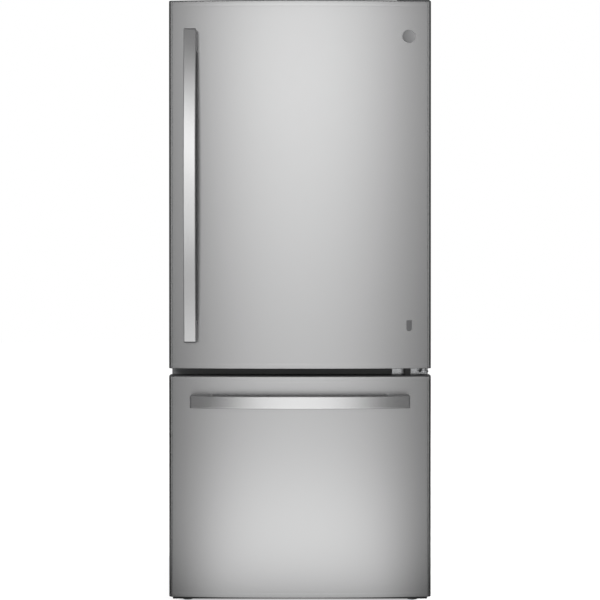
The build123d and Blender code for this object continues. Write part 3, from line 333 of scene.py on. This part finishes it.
def make_piece(name, shape, material, body, slot, *replaced, gauge=0.0):
    """Turns built geometry into a piece that rides on a body and may stand for CAD pieces.

    Several materials go in as a tuple. A gauge gives an open sheet that thickness inwards.
    """
    mesh = bpy.data.meshes.new(name)
    shape.to_mesh(mesh)
    shape.free()
    mesh.shade_smooth()
    mesh.set_sharp_from_angle(angle=shading_angle)
    layers = material if isinstance(material, tuple) else (material,)
    for layer in layers:
        mesh.materials.append(layer)
    piece = placed(name, mesh)
    if gauge:
        wall = piece.modifiers.new("wall", "SOLIDIFY")
        wall.thickness = gauge
        wall.offset = -1
    even = piece.modifiers.new("even", "WEIGHTED_NORMAL")
    even.keep_sharp = True
    settle(piece, body, replaced)


def stand_in(node, shape, material):
    """Shows built geometry in the place of one CAD piece, on its body."""
    make_piece(node + "_piece", shape, material, body_of[node], slot_of[node], node)


def merged(node):
    """A copy of a CAD piece with its loose triangles joined up."""
    shape = bmesh.new()
    shape.from_mesh(nodes[node].data)
    bmesh.ops.remove_doubles(shape, verts=shape.verts, dist=merge_reach)
    return shape


def round_edges(shape, edges, radius, steps):
    """Rounds some edges, and less where there is no room for the radius."""
    bmesh.ops.bevel(shape, geom=edges, offset=radius, offset_type="OFFSET", segments=steps,
                    profile=0.5, affect="EDGES", clamp_overlap=True)


def softened(node, radius):
    """A copy of a CAD piece whose sharp edges are rounded, as pressing or moulding leaves them."""
    shape = merged(node)
    bmesh.ops.dissolve_limit(shape, angle_limit=flat_angle, verts=shape.verts, edges=shape.edges)
    edges = [e for e in shape.edges if e.is_manifold and e.calc_face_angle(0) > sharp_angle]
    round_edges(shape, edges, radius, round_steps)
    return shape


def rounded(radius, material, *names):
    """Shows the softened copies of CAD pieces in their places."""
    for name in names:
        stand_in(name, softened(name, radius), material)


def dress(material, *names):
    """Gives CAD pieces, which stay as they are, a better material."""
    for name in names:
        for place in nodes[name].material_slots:
            place.material = material


def drawn_in_foam():
    """The case's foam, a little shallower at the back so that the pressed beads clear it."""
    shape = merged("cabinet_foam")
    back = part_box("cabinet_foam")[1].y
    for vert in shape.verts:
        if vert.co.y > back - foam_face:
            vert.co.y = back - foam_clearance
    return shape


case_enamel = finish("case_enamel", enamel_grey, rough=0.42, drift=0.03, grain=pebble_size,
                     depth=pebble_depth)
foamed = finish("foamed_insulation", foam_yellow, rough=0.85, grain=0.004, depth=0.0006)
rounded(shell_edge, case_enamel, "cabinet_shell")
rounded(rail_edge, case_enamel, "front_rails")
dress(foamed, "door_foam", "drawer_foam")
stand_in("cabinet_foam", drawn_in_foam(), foamed)

# ---------------------------------------------------------------- back panel
# One flat sheet of galvanised steel closes the back over the machine compartment. Upright
# beads pressed into it keep it from drumming, and hex screws hold its rim to the case.
bead_places = (-0.255, -0.085, 0.085, 0.255)
bead_half = 0.011
bead_depth = 0.0035
bead_end = 0.13
bead_steps = 5
panel_gauge = 0.0007
rim_turn = 0.001
rim_inset = 0.011
side_screw_end = 0.03
side_screw_count = 7
top_screw_places = (-0.22, 0.0, 0.22)
screw_radius = 0.0055
screw_height = 0.0016
screw_layers = ((24, 1.0, 0.5), (6, 0.74, 2.0), (16, 0.46, 2.2))
backwards = (0, 1, 0)
galvanised = finish("galvanised_steel", (0.62, 0.625, 0.63), rough=0.42, metallic=0.55, drift=0.09,
                    drift_size=0.018, rough_drift=0.07, grain=0.012)
zinc = finish("bright_zinc", (0.68, 0.69, 0.70), rough=0.27, metallic=1.0, drift=0.05,
              drift_size=0.02)


def bead_depth_at(x, z, low, high):
    """How far the sheet is pressed in at a place: rounded grooves with rounded ends."""
    depth = 0.0
    for place in bead_places:
        near = min(max(z, low), high)
        away = math.hypot(x - place, z - near) / bead_half
        if away < 1:
            depth = bead_depth * (1 - away ** 2) ** 2
    return depth


def pressed_back():
    """The sheet with its beads, in a grid that is fine only at them, and its rim turned in."""
    low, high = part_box("back_panel")
    start, end = low.z + bead_end, high.z - bead_end
    offsets = [bead_half * step / bead_steps for step in range(-bead_steps - 1, bead_steps + 2)]
    columns = {low.x, high.x} | {place + offset for place in bead_places for offset in offsets}
    rows = {low.z, high.z} | {place + offset for place in (start, end) for offset in offsets}
    shape = bmesh.new()
    grid = [[shape.verts.new((x, high.y - bead_depth_at(x, z, start, end), z))
             for x in sorted(columns)] for z in sorted(rows)]
    for lower, upper in zip(grid, grid[1:]):
        for k in range(len(lower) - 1):
            shape.faces.new((lower[k + 1], lower[k], upper[k], upper[k + 1]))
    edges = [edge for edge in shape.edges if edge.is_boundary]
    turned = bmesh.ops.extrude_edge_only(shape, edges=edges)["geom"]
    rim = [part for part in turned if isinstance(part, bmesh.types.BMVert)]
    bmesh.ops.translate(shape, vec=(0, -rim_turn, 0), verts=rim)
    return shape


def start_tree(name, *sizes):
    """A Geometry Nodes tree that takes points, the named sizes and a metal; gives it and these."""
    tree = bpy.data.node_groups.new(name, "GeometryNodeTree")
    face = tree.interface
    face.new_socket("Geometry", in_out="INPUT", socket_type="NodeSocketGeometry")
    for size in sizes:
        face.new_socket(size, in_out="INPUT", socket_type="NodeSocketFloat")
    face.new_socket("Metal", in_out="INPUT", socket_type="NodeSocketMaterial")
    face.new_socket("Geometry", in_out="OUTPUT", socket_type="NodeSocketGeometry")
    return tree, tree.nodes.new("NodeGroupInput").outputs


def end_tree(tree, given, shape, turn=None):
    """Ends a tree: the shape on every point, made real, in its metal."""
    spread = tree.nodes.new("GeometryNodeInstanceOnPoints")
    tree.links.new(given["Geometry"], spread.inputs["Points"])
    tree.links.new(shape, spread.inputs["Instance"])
    if turn is not None:
        tree.links.new(turn, spread.inputs["Rotation"])
    real = tree.nodes.new("GeometryNodeRealizeInstances")
    tree.links.new(spread.outputs[0], real.inputs[0])
    painted = tree.nodes.new("GeometryNodeSetMaterial")
    tree.links.new(real.outputs[0], painted.inputs["Geometry"])
    tree.links.new(given["Metal"], painted.inputs["Material"])
    out = tree.nodes.new("NodeGroupOutput")
    tree.links.new(painted.outputs[0], out.inputs[0])


def screw_tree():
    """Geometry Nodes: a washer, a hex head and a raised middle on every point, along its facing.

    A layer is its sides and its shares of the head's radius and height.
    """
    tree, given = start_tree("screw_heads", "Head Radius", "Head Height")
    one = tree.nodes.new("GeometryNodeJoinGeometry")
    for sides, wide, tall in screw_layers:
        layer = add(tree, "GeometryNodeMeshCylinder", Vertices=sides)
        tree.links.new(reckon(tree, "MULTIPLY", given["Head Radius"], wide), layer.inputs["Radius"])
        tree.links.new(reckon(tree, "MULTIPLY", given["Head Height"], tall), layer.inputs["Depth"])
        tree.links.new(layer.outputs["Mesh"], one.inputs[0])
    facing = tree.nodes.new("GeometryNodeInputNamedAttribute")
    facing.data_type = "FLOAT_VECTOR"
    facing.inputs["Name"].default_value = "facing"
    turn = tree.nodes.new("FunctionNodeAlignRotationToVector")
    turn.axis = "Z"
    tree.links.new(facing.outputs["Attribute"], turn.inputs["Vector"])
    end_tree(tree, given, one.outputs[0], turn.outputs[0])
    return tree


def grown(name, points, tree, settings, body, slot, *replaced):
    """Runs a Geometry Nodes tree over (place, facing) points and keeps the result as a piece."""
    seed = bpy.data.meshes.new(name)
    seed.from_pydata([place for place, _ in points], [], [])
    facing = seed.attributes.new("facing", "FLOAT_VECTOR", "POINT")
    for value, (_, way) in zip(facing.data, points):
        value.vector = way
    piece = placed(name, seed)
    modifier = piece.modifiers.new(name, "NODES")
    modifier.node_group = tree
    for socket in tree.interface.items_tree:
        if socket.in_out == "INPUT" and socket.name in settings:
            modifier[socket.identifier] = settings[socket.name]
    settle(piece, body, replaced)


screw_heads = screw_tree()


def screws(name, points, *replaced):
    """Hex screws at (place, facing) points on the case."""
    settings = {"Head Radius": screw_radius, "Head Height": screw_height, "Metal": zinc}
    grown(name, points, screw_heads, settings, "cabinet", "zinc_steel", *replaced)


def spaced(start, end, count):
    """Evenly spaced places, the ends included."""
    return [start + (end - start) * step / (count - 1) for step in range(count)]


make_piece("back_sheet", pressed_back(), galvanised, "cabinet", "galvanised", "back_panel",
           gauge=panel_gauge)
panel_low, panel_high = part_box("back_panel")
side_heights = spaced(panel_low.z + side_screw_end, panel_high.z - side_screw_end, side_screw_count)
back_points = [((side * (panel_high.x - rim_inset), panel_high.y, z), backwards)
               for side in (-1, 1) for z in side_heights]
back_points += [((x, panel_high.y, panel_high.z - rim_inset), backwards) for x in top_screw_places]
screws("back_screws", back_points)

# ---------------------------------------------------------------- base
# A folded pan carries everything on two channels, behind a black moulded grille. Tyred
# rollers turn on axles at the back, and threaded legs with wide feet screw through nuts at
# the front.
pan_edge = 0.0006
grille_edge = 0.0010
tyre_edge = 0.0015
foot_edge = 0.0008
thread_pitch = 0.0018
thread_start = 0.010
thread_margin = 0.012
thread_wire = 0.0006
stem_radius = 0.005
ring_sides = 24
wire_sides = 6
upwards = (0, 0, 1)
base_steel = finish("zinc_coated_base", (0.52, 0.53, 0.54), rough=0.42, metallic=0.85, drift=0.10,
                    drift_size=0.03, rough_drift=0.07)
tyre_black = finish("roller_tyre", (0.030, 0.030, 0.031), rough=0.62, drift=0.10, grain=0.0015,
                    depth=0.0001)
black_mould = finish("black_moulding", (0.022, 0.022, 0.023), rough=0.46, drift=0.08, grain=0.0008,
                     depth=0.00005)
rounded(pan_edge, base_steel, "base_frame")
rounded(grille_edge, black_mould, "base_grille")
for side in ("left", "right"):
    rounded(tyre_edge, tyre_black, "roller_" + side)
    rounded(foot_edge, zinc, "levelling_leg_" + side)


def thread_tree():
    """Geometry Nodes: a ring of wire on every point, as the turns of a screw thread."""
    tree, given = start_tree("thread_rings", "Stem Radius", "Wire Radius")
    ring = add(tree, "GeometryNodeCurvePrimitiveCircle", Resolution=ring_sides)
    wire = add(tree, "GeometryNodeCurvePrimitiveCircle", Resolution=wire_sides)
    tree.links.new(given["Stem Radius"], ring.inputs["Radius"])
    tree.links.new(given["Wire Radius"], wire.inputs["Radius"])
    tube = tree.nodes.new("GeometryNodeCurveToMesh")
    tree.links.new(ring.outputs[0], tube.inputs["Curve"])
    tree.links.new(wire.outputs[0], tube.inputs["Profile Curve"])
    end_tree(tree, given, tube.outputs[0])
    return tree


thread_rings = thread_tree()
for leg in ("levelling_leg_left", "levelling_leg_right"):
    leg_low, leg_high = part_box(leg)
    middle = (leg_low + leg_high) / 2
    turns = int((leg_high.z - leg_low.z - thread_margin) / thread_pitch)
    ring_points = [((middle.x, middle.y, leg_low.z + thread_start + thread_pitch * turn), upwards)
                   for turn in range(turns)]
    thread_sizes = {"Stem Radius": stem_radius, "Wire Radius": thread_wire, "Metal": zinc}
    grown(leg.replace("levelling_leg", "leg_thread"), ring_points, thread_rings, thread_sizes, leg,
          "zinc_steel")

# ---------------------------------------------------------------- machine compartment
# The welded compressor stands on rubber grommets beside the finned wire condenser and its
# fan. Copper lines are brazed to it. A slotted grey cover closes the space at the back.
weld_height = 0.072
weld_ring = 0.072
weld_wire = 0.0028
terminal_corners = ((0.066, -0.026, 0.050), (0.094, 0.026, 0.108))
terminal_edge = 0.005
box_steps = 3
suction_rise = ((-0.062, 0.030, 0.095), (-0.085, 0.040, 0.100), (-0.095, 0.045, 0.130))
suction_top = ((-0.085, 0.040, -0.050), (-0.060, -0.010, -0.030), (-0.050, -0.030, -0.002))
suction_radius = 0.0045
discharge_run = ((0.045, -0.045, 0.098), (0.060, -0.060, 0.110), (0.080, -0.068, 0.140),
                 (0.110, -0.072, 0.120), (0.118, -0.072, 0.060), (0.124, -0.072, 0.016))
process_run = ((-0.030, 0.058, 0.095), (-0.034, 0.070, 0.100), (-0.036, 0.076, 0.120),
               (-0.036, 0.076, 0.150))
line_radius = 0.0032
tube_rounding = 4
tube_steps = 8
drip_edge = 0.0010
cover_edge = 0.0004
cover_rim = 0.014
cover_end = 0.016
cover_screw_count = 5
satin_black = finish("satin_black_paint", (0.020, 0.020, 0.021), rough=0.36, drift=0.12,
                     grain=0.0012, depth=0.00008)
copper = finish("drawn_copper", (0.72, 0.36, 0.22), rough=0.26, metallic=1.0, drift=0.10,
                drift_size=0.03)
cover_grey = finish("hinge_cover_moulding", (0.105, 0.107, 0.110), rough=0.45, drift=0.05,
                    grain=0.0009, depth=0.00006)
pan_white = finish("drain_pan_moulding", (0.62, 0.62, 0.60), rough=0.40, drift=0.04, grain=0.0012,
                   depth=0.00004)
dress(satin_black, "compressor", "condenser_coil")
dress(black_mould, "cord_gland", "condenser_fan", "evaporator_fan", "fan_motors")
rounded(drip_edge, pan_white, "drain_pan")
rounded(cover_edge, cover_grey, "machine_cover")
shell_low, shell_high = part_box("compressor")
shell_middle = (shell_low + shell_high) / 2
machine_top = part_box("machine_cover")[1].z


def by_compressor(places, height=shell_low.z):
    """Places measured from the compressor's upright middle line and a height, else its foot's."""
    return [(shell_middle.x + x, shell_middle.y + y, height + z) for x, y, z in places]


def box_shape(low, high, radius):
    """A closed box with rounded edges between two corners."""
    shape = bmesh.new()
    bmesh.ops.create_cube(shape, size=1.0)
    for vert in shape.verts:
        vert.co = [low[k] + (vert.co[k] + 0.5) * (high[k] - low[k]) for k in range(3)]
    round_edges(shape, shape.edges[:], radius, box_steps)
    return shape


def curve_mesh(name, curve):
    """The plain mesh of a curve or a text."""
    holder = placed(name, curve)
    mesh = plain_mesh(holder)
    bpy.data.objects.remove(holder)
    return mesh


def pipe(name, points, radius):
    """A bent copper tube along a smooth line."""
    line = bpy.data.curves.new(name, "CURVE")
    line.dimensions = "3D"
    line.bevel_depth = radius
    line.bevel_resolution = tube_rounding
    line.resolution_u = tube_steps
    line.use_fill_caps = True
    spline = line.splines.new("NURBS")
    spline.points.add(len(points) - 1)
    for point, place in zip(spline.points, points):
        point.co = (*place, 1)
    spline.order_u = 4
    spline.use_endpoint_u = True
    mesh = curve_mesh(name, line)
    mesh.shade_smooth()
    mesh.materials.clear()
    mesh.materials.append(copper)
    piece = placed(name, mesh)
    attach(piece, "cabinet")


weld_sizes = {"Stem Radius": weld_ring, "Wire Radius": weld_wire, "Metal": satin_black}
weld_places = by_compressor([(0, 0, weld_height)])
grown("compressor_weld", [(place, upwards) for place in weld_places], thread_rings, weld_sizes,
      "cabinet", "black_paint")
make_piece("terminal_cover", box_shape(*by_compressor(terminal_corners), terminal_edge),
           black_mould, "cabinet", "dark_plastic")
suction_run = by_compressor(suction_rise) + by_compressor(suction_top, machine_top)
pipe("suction_line", suction_run, suction_radius)
pipe("discharge_line", by_compressor(discharge_run), line_radius)
pipe("process_stub", by_compressor(process_run), line_radius)
cover_low, cover_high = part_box("machine_cover")
cover_places = spaced(cover_low.x + cover_end, cover_high.x - cover_end, cover_screw_count)
screws("machine_cover_screws", [((x, cover_high.y, z), backwards)
                                for z in (cover_low.z + cover_rim, cover_high.z - cover_rim)
                                for x in cover_places])

# ---------------------------------------------------------------- fresh food compartment
# A vacuum-formed white liner with moulded ribs. Framed glass shelves, two clear crispers
# under a framed cover, the air duct on the back wall and the controls under the roof.
liner_edge = 0.0008
frame_edge = 0.0012
slider_edge = 0.0008
crisper_edge = 0.0008
glass_edge = 0.0006
lens_edge = 0.0004
dial_marks = 7
dial_sweep = math.radians(270)
mark_circle = 0.0225
mark_height = 0.0042
size_for_height = 1.4
mark_thickness = 0.00005
mark_lift = 0.0001
liner_white = finish("liner_white", (0.84, 0.84, 0.83), rough=0.28, drift=0.02, grain=0.003,
                     depth=0.00004)
white_mould = finish("white_moulding", (0.78, 0.78, 0.78), rough=0.36, drift=0.02, grain=0.0012,
                     depth=0.00003)
clear = finish("clear_moulding", (0.86, 0.90, 0.92), rough=0.09, drift=0.01, rough_drift=0.03,
               alpha=0.34)
glass = finish("tempered_glass", (0.74, 0.86, 0.82), rough=0.05, drift=0.01, rough_drift=0.02,
               alpha=0.30)
mark_grey = finish("printed_marks", (0.10, 0.11, 0.12), rough=0.50, drift=0.05)
dial_grey = finish("dial_moulding", (0.42, 0.43, 0.45), rough=0.34, drift=0.03, grain=0.0012,
                   depth=0.00003)
rounded(liner_edge, liner_white, "fresh_food_liner")
rounded(frame_edge, white_mould, "shelf_frames", "crisper_cover", "air_tower", "control_housing")
rounded(slider_edge, white_mould, "humidity_slider_left", "humidity_slider_right")
rounded(crisper_edge, clear, "crisper_left", "crisper_right")
rounded(glass_edge, glass, "shelf_glass")
rounded(lens_edge, clear, "light_lens")
dress(dial_grey, "fridge_dial", "freezer_dial")
dress(white_mould, "light_switch")


def dial_numbers(name, dial):
    """Plain numbers from 1 to 7 round a dial, printed on the housing."""
    low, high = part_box(dial)
    middle = (low + high) / 2
    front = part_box("control_housing")[0].y - mark_lift
    shape = bmesh.new()
    for step in range(dial_marks):
        turn = -dial_sweep / 2 + dial_sweep * step / (dial_marks - 1)
        text = bpy.data.curves.new(name, "FONT")
        text.body = str(step + 1)
        text.size = mark_height * size_for_height
        text.align_x = "CENTER"
        text.align_y = "CENTER"
        text.extrude = mark_thickness
        mesh = curve_mesh(name, text)
        for vert in mesh.vertices:
            x, y, lift = vert.co
            vert.co = (middle.x + mark_circle * math.sin(turn) + x, front - lift,
                       middle.z + mark_circle * math.cos(turn) + y)
        shape.from_mesh(mesh)
        bpy.data.meshes.remove(mesh)
    bmesh.ops.recalc_face_normals(shape, faces=shape.faces)
    make_piece(name, shape, mark_grey, "cabinet", "dark_plastic")


dial_numbers("fridge_dial_numbers", "fridge_dial")
dial_numbers("freezer_dial_numbers", "freezer_dial")

# ---------------------------------------------------------------- freezer compartment
# A stepped white liner over the machine compartment. Full-travel steel slides carry the
# deep basket, and a shallow basket rides on the liner's ribs. The finned coil is behind.
basket_edge = 0.0008
slide_edge = 0.0004
mill_metal = finish("mill_aluminium", (0.74, 0.75, 0.76), rough=0.35, metallic=1.0, drift=0.06,
                    drift_size=0.02)
rounded(liner_edge, liner_white, "freezer_liner")
rounded(basket_edge, white_mould, "evaporator_cover", "lower_basket", "upper_basket")
rounded(slide_edge, zinc, "slide_outer_members", "slide_middle_members", "slide_inner_members")
dress(mill_metal, "evaporator")

# ---------------------------------------------------------------- door and drawer fronts
# Each front is one sheet of satin stainless steel, bowed outwards, bent round the corners and
# folded over the plastic end caps. A shallow crease runs along each fold.
sheet_lift = 0.0004
front_gauge = 0.0005
front_bow = 0.017
bow_steps = 96
corner_face = 0.0065
corner_turn = math.radians(52)
corner_soft = 0.0015
corner_lead = 0.0012
corner_steps = 5
first_bend_end = 0.2
last_bend_start = 0.86
cap_edge = 0.0006
cap_reveal = 0.0018
crease_place = 0.015
crease_drop = 0.00010
fold_rows = ((0.0002, 0.0030), (-0.0002, 0.0012), (0.0008, 0.0003), (0.0022, 0.0),
             (crease_place - 0.003, 0.0), (crease_place - 0.001, crease_drop),
             (crease_place + 0.001, crease_drop), (crease_place + 0.003, 0.0),
             (crease_place + 0.03, 0.0))
satin_steel = finish("satin_stainless", (0.60, 0.60, 0.602), rough=0.26, metallic=1.0, drift=0.012,
                     drift_size=0.5, rough_drift=0.012, grain=(0.0003, 0.0003, 0.03),
                     depth=0.0000006)
cap_grey = finish("cap_moulding", (0.040, 0.040, 0.042), rough=0.45, drift=0.06, grain=0.0009,
                  depth=0.00006)


def front_outline(side_x, rear, edge, crown, inset):
    """Half of a bowed outline from the rear of the side to the middle, drawn in by inset."""
    bow = edge - crown
    radius = (side_x ** 2 + bow ** 2) / (2 * bow)
    centre = crown + radius
    x = side_x - inset
    reach = radius - inset
    lean = math.asin((x - corner_face) / reach)
    start_y = centre - reach * math.cos(lean)
    end_y = start_y + corner_face * math.tan(corner_turn)
    lead = lean - corner_lead
    first_bend = ((x, end_y + corner_soft), (x, end_y),
                  (x - first_bend_end * corner_face, end_y - first_bend_end * (end_y - start_y)))
    last_bend = ((x - last_bend_start * corner_face, end_y - last_bend_start * (end_y - start_y)),
                 (x - corner_face, start_y),
                 (reach * math.sin(lead), centre - reach * math.cos(lead)))
    points = [(x, rear)]
    for (ax, ay), (bx, by), (cx, cy) in (first_bend, last_bend):
        for step in range(corner_steps + 1):
            t = step / corner_steps
            points.append(((1 - t) ** 2 * ax + 2 * t * (1 - t) * bx + t ** 2 * cx,
                           (1 - t) ** 2 * ay + 2 * t * (1 - t) * by + t ** 2 * cy))
    for step in range(1, bow_steps // 2 + 1):
        turn = lead * (1 - 2 * step / bow_steps)
        points.append((reach * math.sin(turn), centre - reach * math.cos(turn)))
    return points


def front_shape(caps, skin):
    """The sheet without its thickness: folds, creases and the long plain face between them.

    A fold row is how far it lies in from the sheet's end and how far it is drawn in.
    """
    low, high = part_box(caps)
    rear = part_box(skin)[1].y
    side_x = high.x + sheet_lift
    crown = low.y - sheet_lift
    rows = [(low.z + along, inset) for along, inset in fold_rows]
    rows += [(high.z - cap_reveal - along, inset) for along, inset in reversed(fold_rows)]
    shape = bmesh.new()
    rings = []
    for z, inset in rows:
        half = front_outline(side_x, rear, crown + front_bow, crown, inset)
        points = half + [(-x, y) for x, y in half[-2::-1]]
        rings.append([shape.verts.new((x, y, z)) for x, y in points])
    for below, above in zip(rings, rings[1:]):
        for left in range(len(below) - 1):
            shape.faces.new((below[left], above[left], above[left + 1], below[left + 1]))
    return shape


for name, caps, skin in (("door_front", "door_end_caps", "door_skin"),
                         ("drawer_front", "drawer_end_caps", "drawer_skin")):
    make_piece(name, front_shape(caps, skin), satin_steel, body_of[skin], "stainless", skin,
               gauge=front_gauge)
rounded(cap_edge, cap_grey, "door_end_caps", "drawer_end_caps")

# ---------------------------------------------------------------- handles, badge and tag
# Each bowed handle is screwed on from behind the sheet and has a steel plate on its front.
# Its sides, its feet and a thin strip at each end are dark grey as painted shade, which darkens
# the gap behind the bar and the bar's reflection in the sheet. A round badge and a small tag,
# both of dark anodised metal and both left blank, are stuck to the door.
plate_facing = 0.80
# Width of the dark strip painted as shade at each end of a handle's plate.
painted_shade_end = 0.004
badge_rings = ((0.0010, 0.0), (0.0004, 0.00015))
dish_ring = 0.0032
dish_slopes = (0.030, 0.024, 0.018, 0.012, 0.006)
label_edge = 0.0004
polished = {"metallic": 1.0, "drift": 0.012, "drift_size": 0.3, "rough_drift": 0.012,
            "grain": 0.0005, "depth": 0.0000006}
anodised = {"metallic": 1.0, "drift": 0.02, "rough_drift": 0.02, "grain": 0.0004}
handle_steel = finish("handle_steel", (0.66, 0.66, 0.662), rough=0.22, **polished)
# The drawer handle's steel is the door handle's steel made brighter, as a painted highlight.
painted_highlight_steel = finish("painted_highlight_handle_steel", (0.94, 0.94, 0.942), rough=0.22, **polished)
tag_metal = finish("tag_metal", (0.26, 0.26, 0.265), rough=0.34, **anodised)
badge_metal = finish("badge_metal", (0.44, 0.44, 0.445), rough=0.34, **anodised)
# Dark grey painted shade for the handles' sides, feet and end strips.
painted_shade_grey = finish("painted_shade_moulding", (0.082, 0.082, 0.084), rough=0.38, drift=0.06, grain=0.0012,
                   depth=0.00004)


def faced_bar(node, plate_steel):
    """The bowed bar: a steel plate on its front, and dark grey painted shade on its ends, sides and
    feet.
    """
    low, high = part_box(node)
    along = 2 if high.z - low.z > high.x - low.x else 0
    start, end = low[along] + painted_shade_end, high[along] - painted_shade_end
    across = Vector((0, 0, 0))
    across[along] = 1
    shape = merged(node)
    for place in (start, end):
        everything = shape.verts[:] + shape.edges[:] + shape.faces[:]
        bmesh.ops.bisect_plane(shape, geom=everything, dist=merge_reach, plane_co=across * place,
                               plane_no=across)
    # Faces off the front plate, and the thin end strips, get the dark grey of painted shade.
    for face in shape.faces:
        face.normal_update()
        on_plate = face.normal.y < -plate_facing and start < face.calc_center_median()[along] < end
        face.material_index = 0 if on_plate else 1
    stand_in(node, shape, (plate_steel, painted_shade_grey))


def dished(node, radius, material):
    """A disc with a narrow rim, pressed in ring by ring to a shallow dish inside it."""
    shape = softened(node, radius)
    fronts = [face for face in shape.faces if face.normal.y < -plate_facing]
    face = max(fronts, key=lambda front: front.calc_area())
    dish_rings = tuple((dish_ring, dish_ring * slope) for slope in dish_slopes)
    for width, depth in badge_rings + dish_rings:
        bmesh.ops.inset_individual(shape, faces=[face], thickness=width, depth=-depth,
                                   use_even_offset=True)
    stand_in(node, shape, material)


faced_bar("door_handle", handle_steel)
faced_bar("drawer_handle", painted_highlight_steel)
dished("round_badge", label_edge, badge_metal)
rounded(label_edge, tag_metal, "tag_plate")

# ---------------------------------------------------------------- door seals
# Each seal is one grey extrusion, welded at its mitred corners: a foot in the inner panel's
# groove, a folding bellows, and a flat head with the magnet strip inside.
seal_profile = ((0.10, 0.00), (0.90, 0.00), (0.97, 0.10), (0.80, 0.20), (0.98, 0.33), (0.82, 0.46),
                (1.00, 0.60), (1.00, 0.93), (0.94, 1.00), (0.06, 1.00), (0.00, 0.93), (0.00, 0.60),
                (0.18, 0.46), (0.02, 0.33), (0.20, 0.20), (0.03, 0.10))
seal_width = 0.013
seal_grey = finish("seal_rubber", (0.20, 0.20, 0.205), rough=0.60, drift=0.05, grain=0.0015,
                   depth=0.00003)


def seal_shape(node):
    """The extrusion swept round the opening, its outer side on the CAD ring's outer side.

    The profile is in shares of the seal's width and of its depth.
    """
    low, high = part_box(node)
    corners = ((low.x, low.z, 1, 1), (high.x, low.z, -1, 1), (high.x, high.z, -1, -1),
               (low.x, high.z, 1, -1))
    shape = bmesh.new()
    rings = []
    for corner_x, corner_z, into_x, into_z in corners:
        ring = []
        for across, along in seal_profile:
            inwards = seal_width * (1 - across)
            depth = low.y + (high.y - low.y) * along
            place = (corner_x + into_x * inwards, depth, corner_z + into_z * inwards)
            ring.append(shape.verts.new(place))
        rings.append(ring)
    for ring, following in zip(rings, rings[1:] + rings[:1]):
        for k in range(len(ring)):
            j = (k + 1) % len(ring)
            shape.faces.new((ring[k], following[k], following[j], ring[j]))
    bmesh.ops.recalc_face_normals(shape, faces=shape.faces)
    return shape


make_piece("door_seal", seal_shape("door_gasket"), seal_grey, "door", "gasket", "door_gasket")
make_piece("drawer_seal", seal_shape("drawer_gasket"), seal_grey, "freezer_drawer", "gasket",
           "drawer_gasket")

# ---------------------------------------------------------------- inner panels and bins
# White formed panels close the backs of the doors. Two ribs on the door hold four clear
# bins and the dairy lid's pins.
panel_edge = 0.0010
bin_edge = 0.0008
lid_edge = 0.0006
rounded(panel_edge, liner_white, "door_liner", "drawer_inner_panel")
rounded(bin_edge, clear, "door_bins")
rounded(lid_edge, clear, "dairy_lid")

# ---------------------------------------------------------------- hinges
# Zinc plated plates with pins carry the door at its right side, and a moulded cover hides the
# upper plate. A black block beside the middle pin is painted shade for the dark break in the
# plate there. Hex screws hold them to the case.
top_plate_edge = 0.0006
middle_plate_edge = 0.0005
hood_edge = 0.0008
shade_block_low = (0.302, -0.3485, 0.671)
shade_block_high = (0.321, -0.300, 0.6935)
shade_block_edge = 0.002
plate_screw_inset = 0.014
front_screw_setback = 0.0575
middle_screw_insets = (0.014, 0.061)
middle_screw_face = -0.293
middle_screw_height = 0.6825
hood_screw_inset = 0.045
forwards = (0, -1, 0)
rounded(top_plate_edge, zinc, "top_hinge")
rounded(middle_plate_edge, zinc, "middle_hinge")
# A black block, painted shade where the plate is broken beside the middle pin.
make_piece("hinge_shade_block", box_shape(shade_block_low, shade_block_high, shade_block_edge), black_mould, "cabinet",
           "dark_plastic")
rounded(hood_edge, cover_grey, "top_hinge_cover")
top_low, top_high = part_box("top_hinge")
screws_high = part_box("hinge_screws")[1]
plate_left = top_low.x + plate_screw_inset
plate_right = screws_high.x - screw_radius
plate_back = top_high.y - plate_screw_inset
plate_front = screws_high.y - front_screw_setback
plate_corners = ((plate_left, plate_front), (plate_left, plate_back), (plate_right, plate_back))
hinge_points = [((x, y, top_high.z), upwards) for x, y in plate_corners]
middle_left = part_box("middle_hinge")[0].x
hinge_points += [((middle_left + inset, middle_screw_face, middle_screw_height), forwards)
                 for inset in middle_screw_insets]
screws("hinge_screw_heads", hinge_points, "hinge_screws")
hood_low, hood_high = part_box("top_hinge_cover")
hood_middle = (hood_low.x + hood_high.x) / 2
screws("hinge_cover_screw", [((hood_middle, hood_high.y - hood_screw_inset, hood_high.z), upwards)])
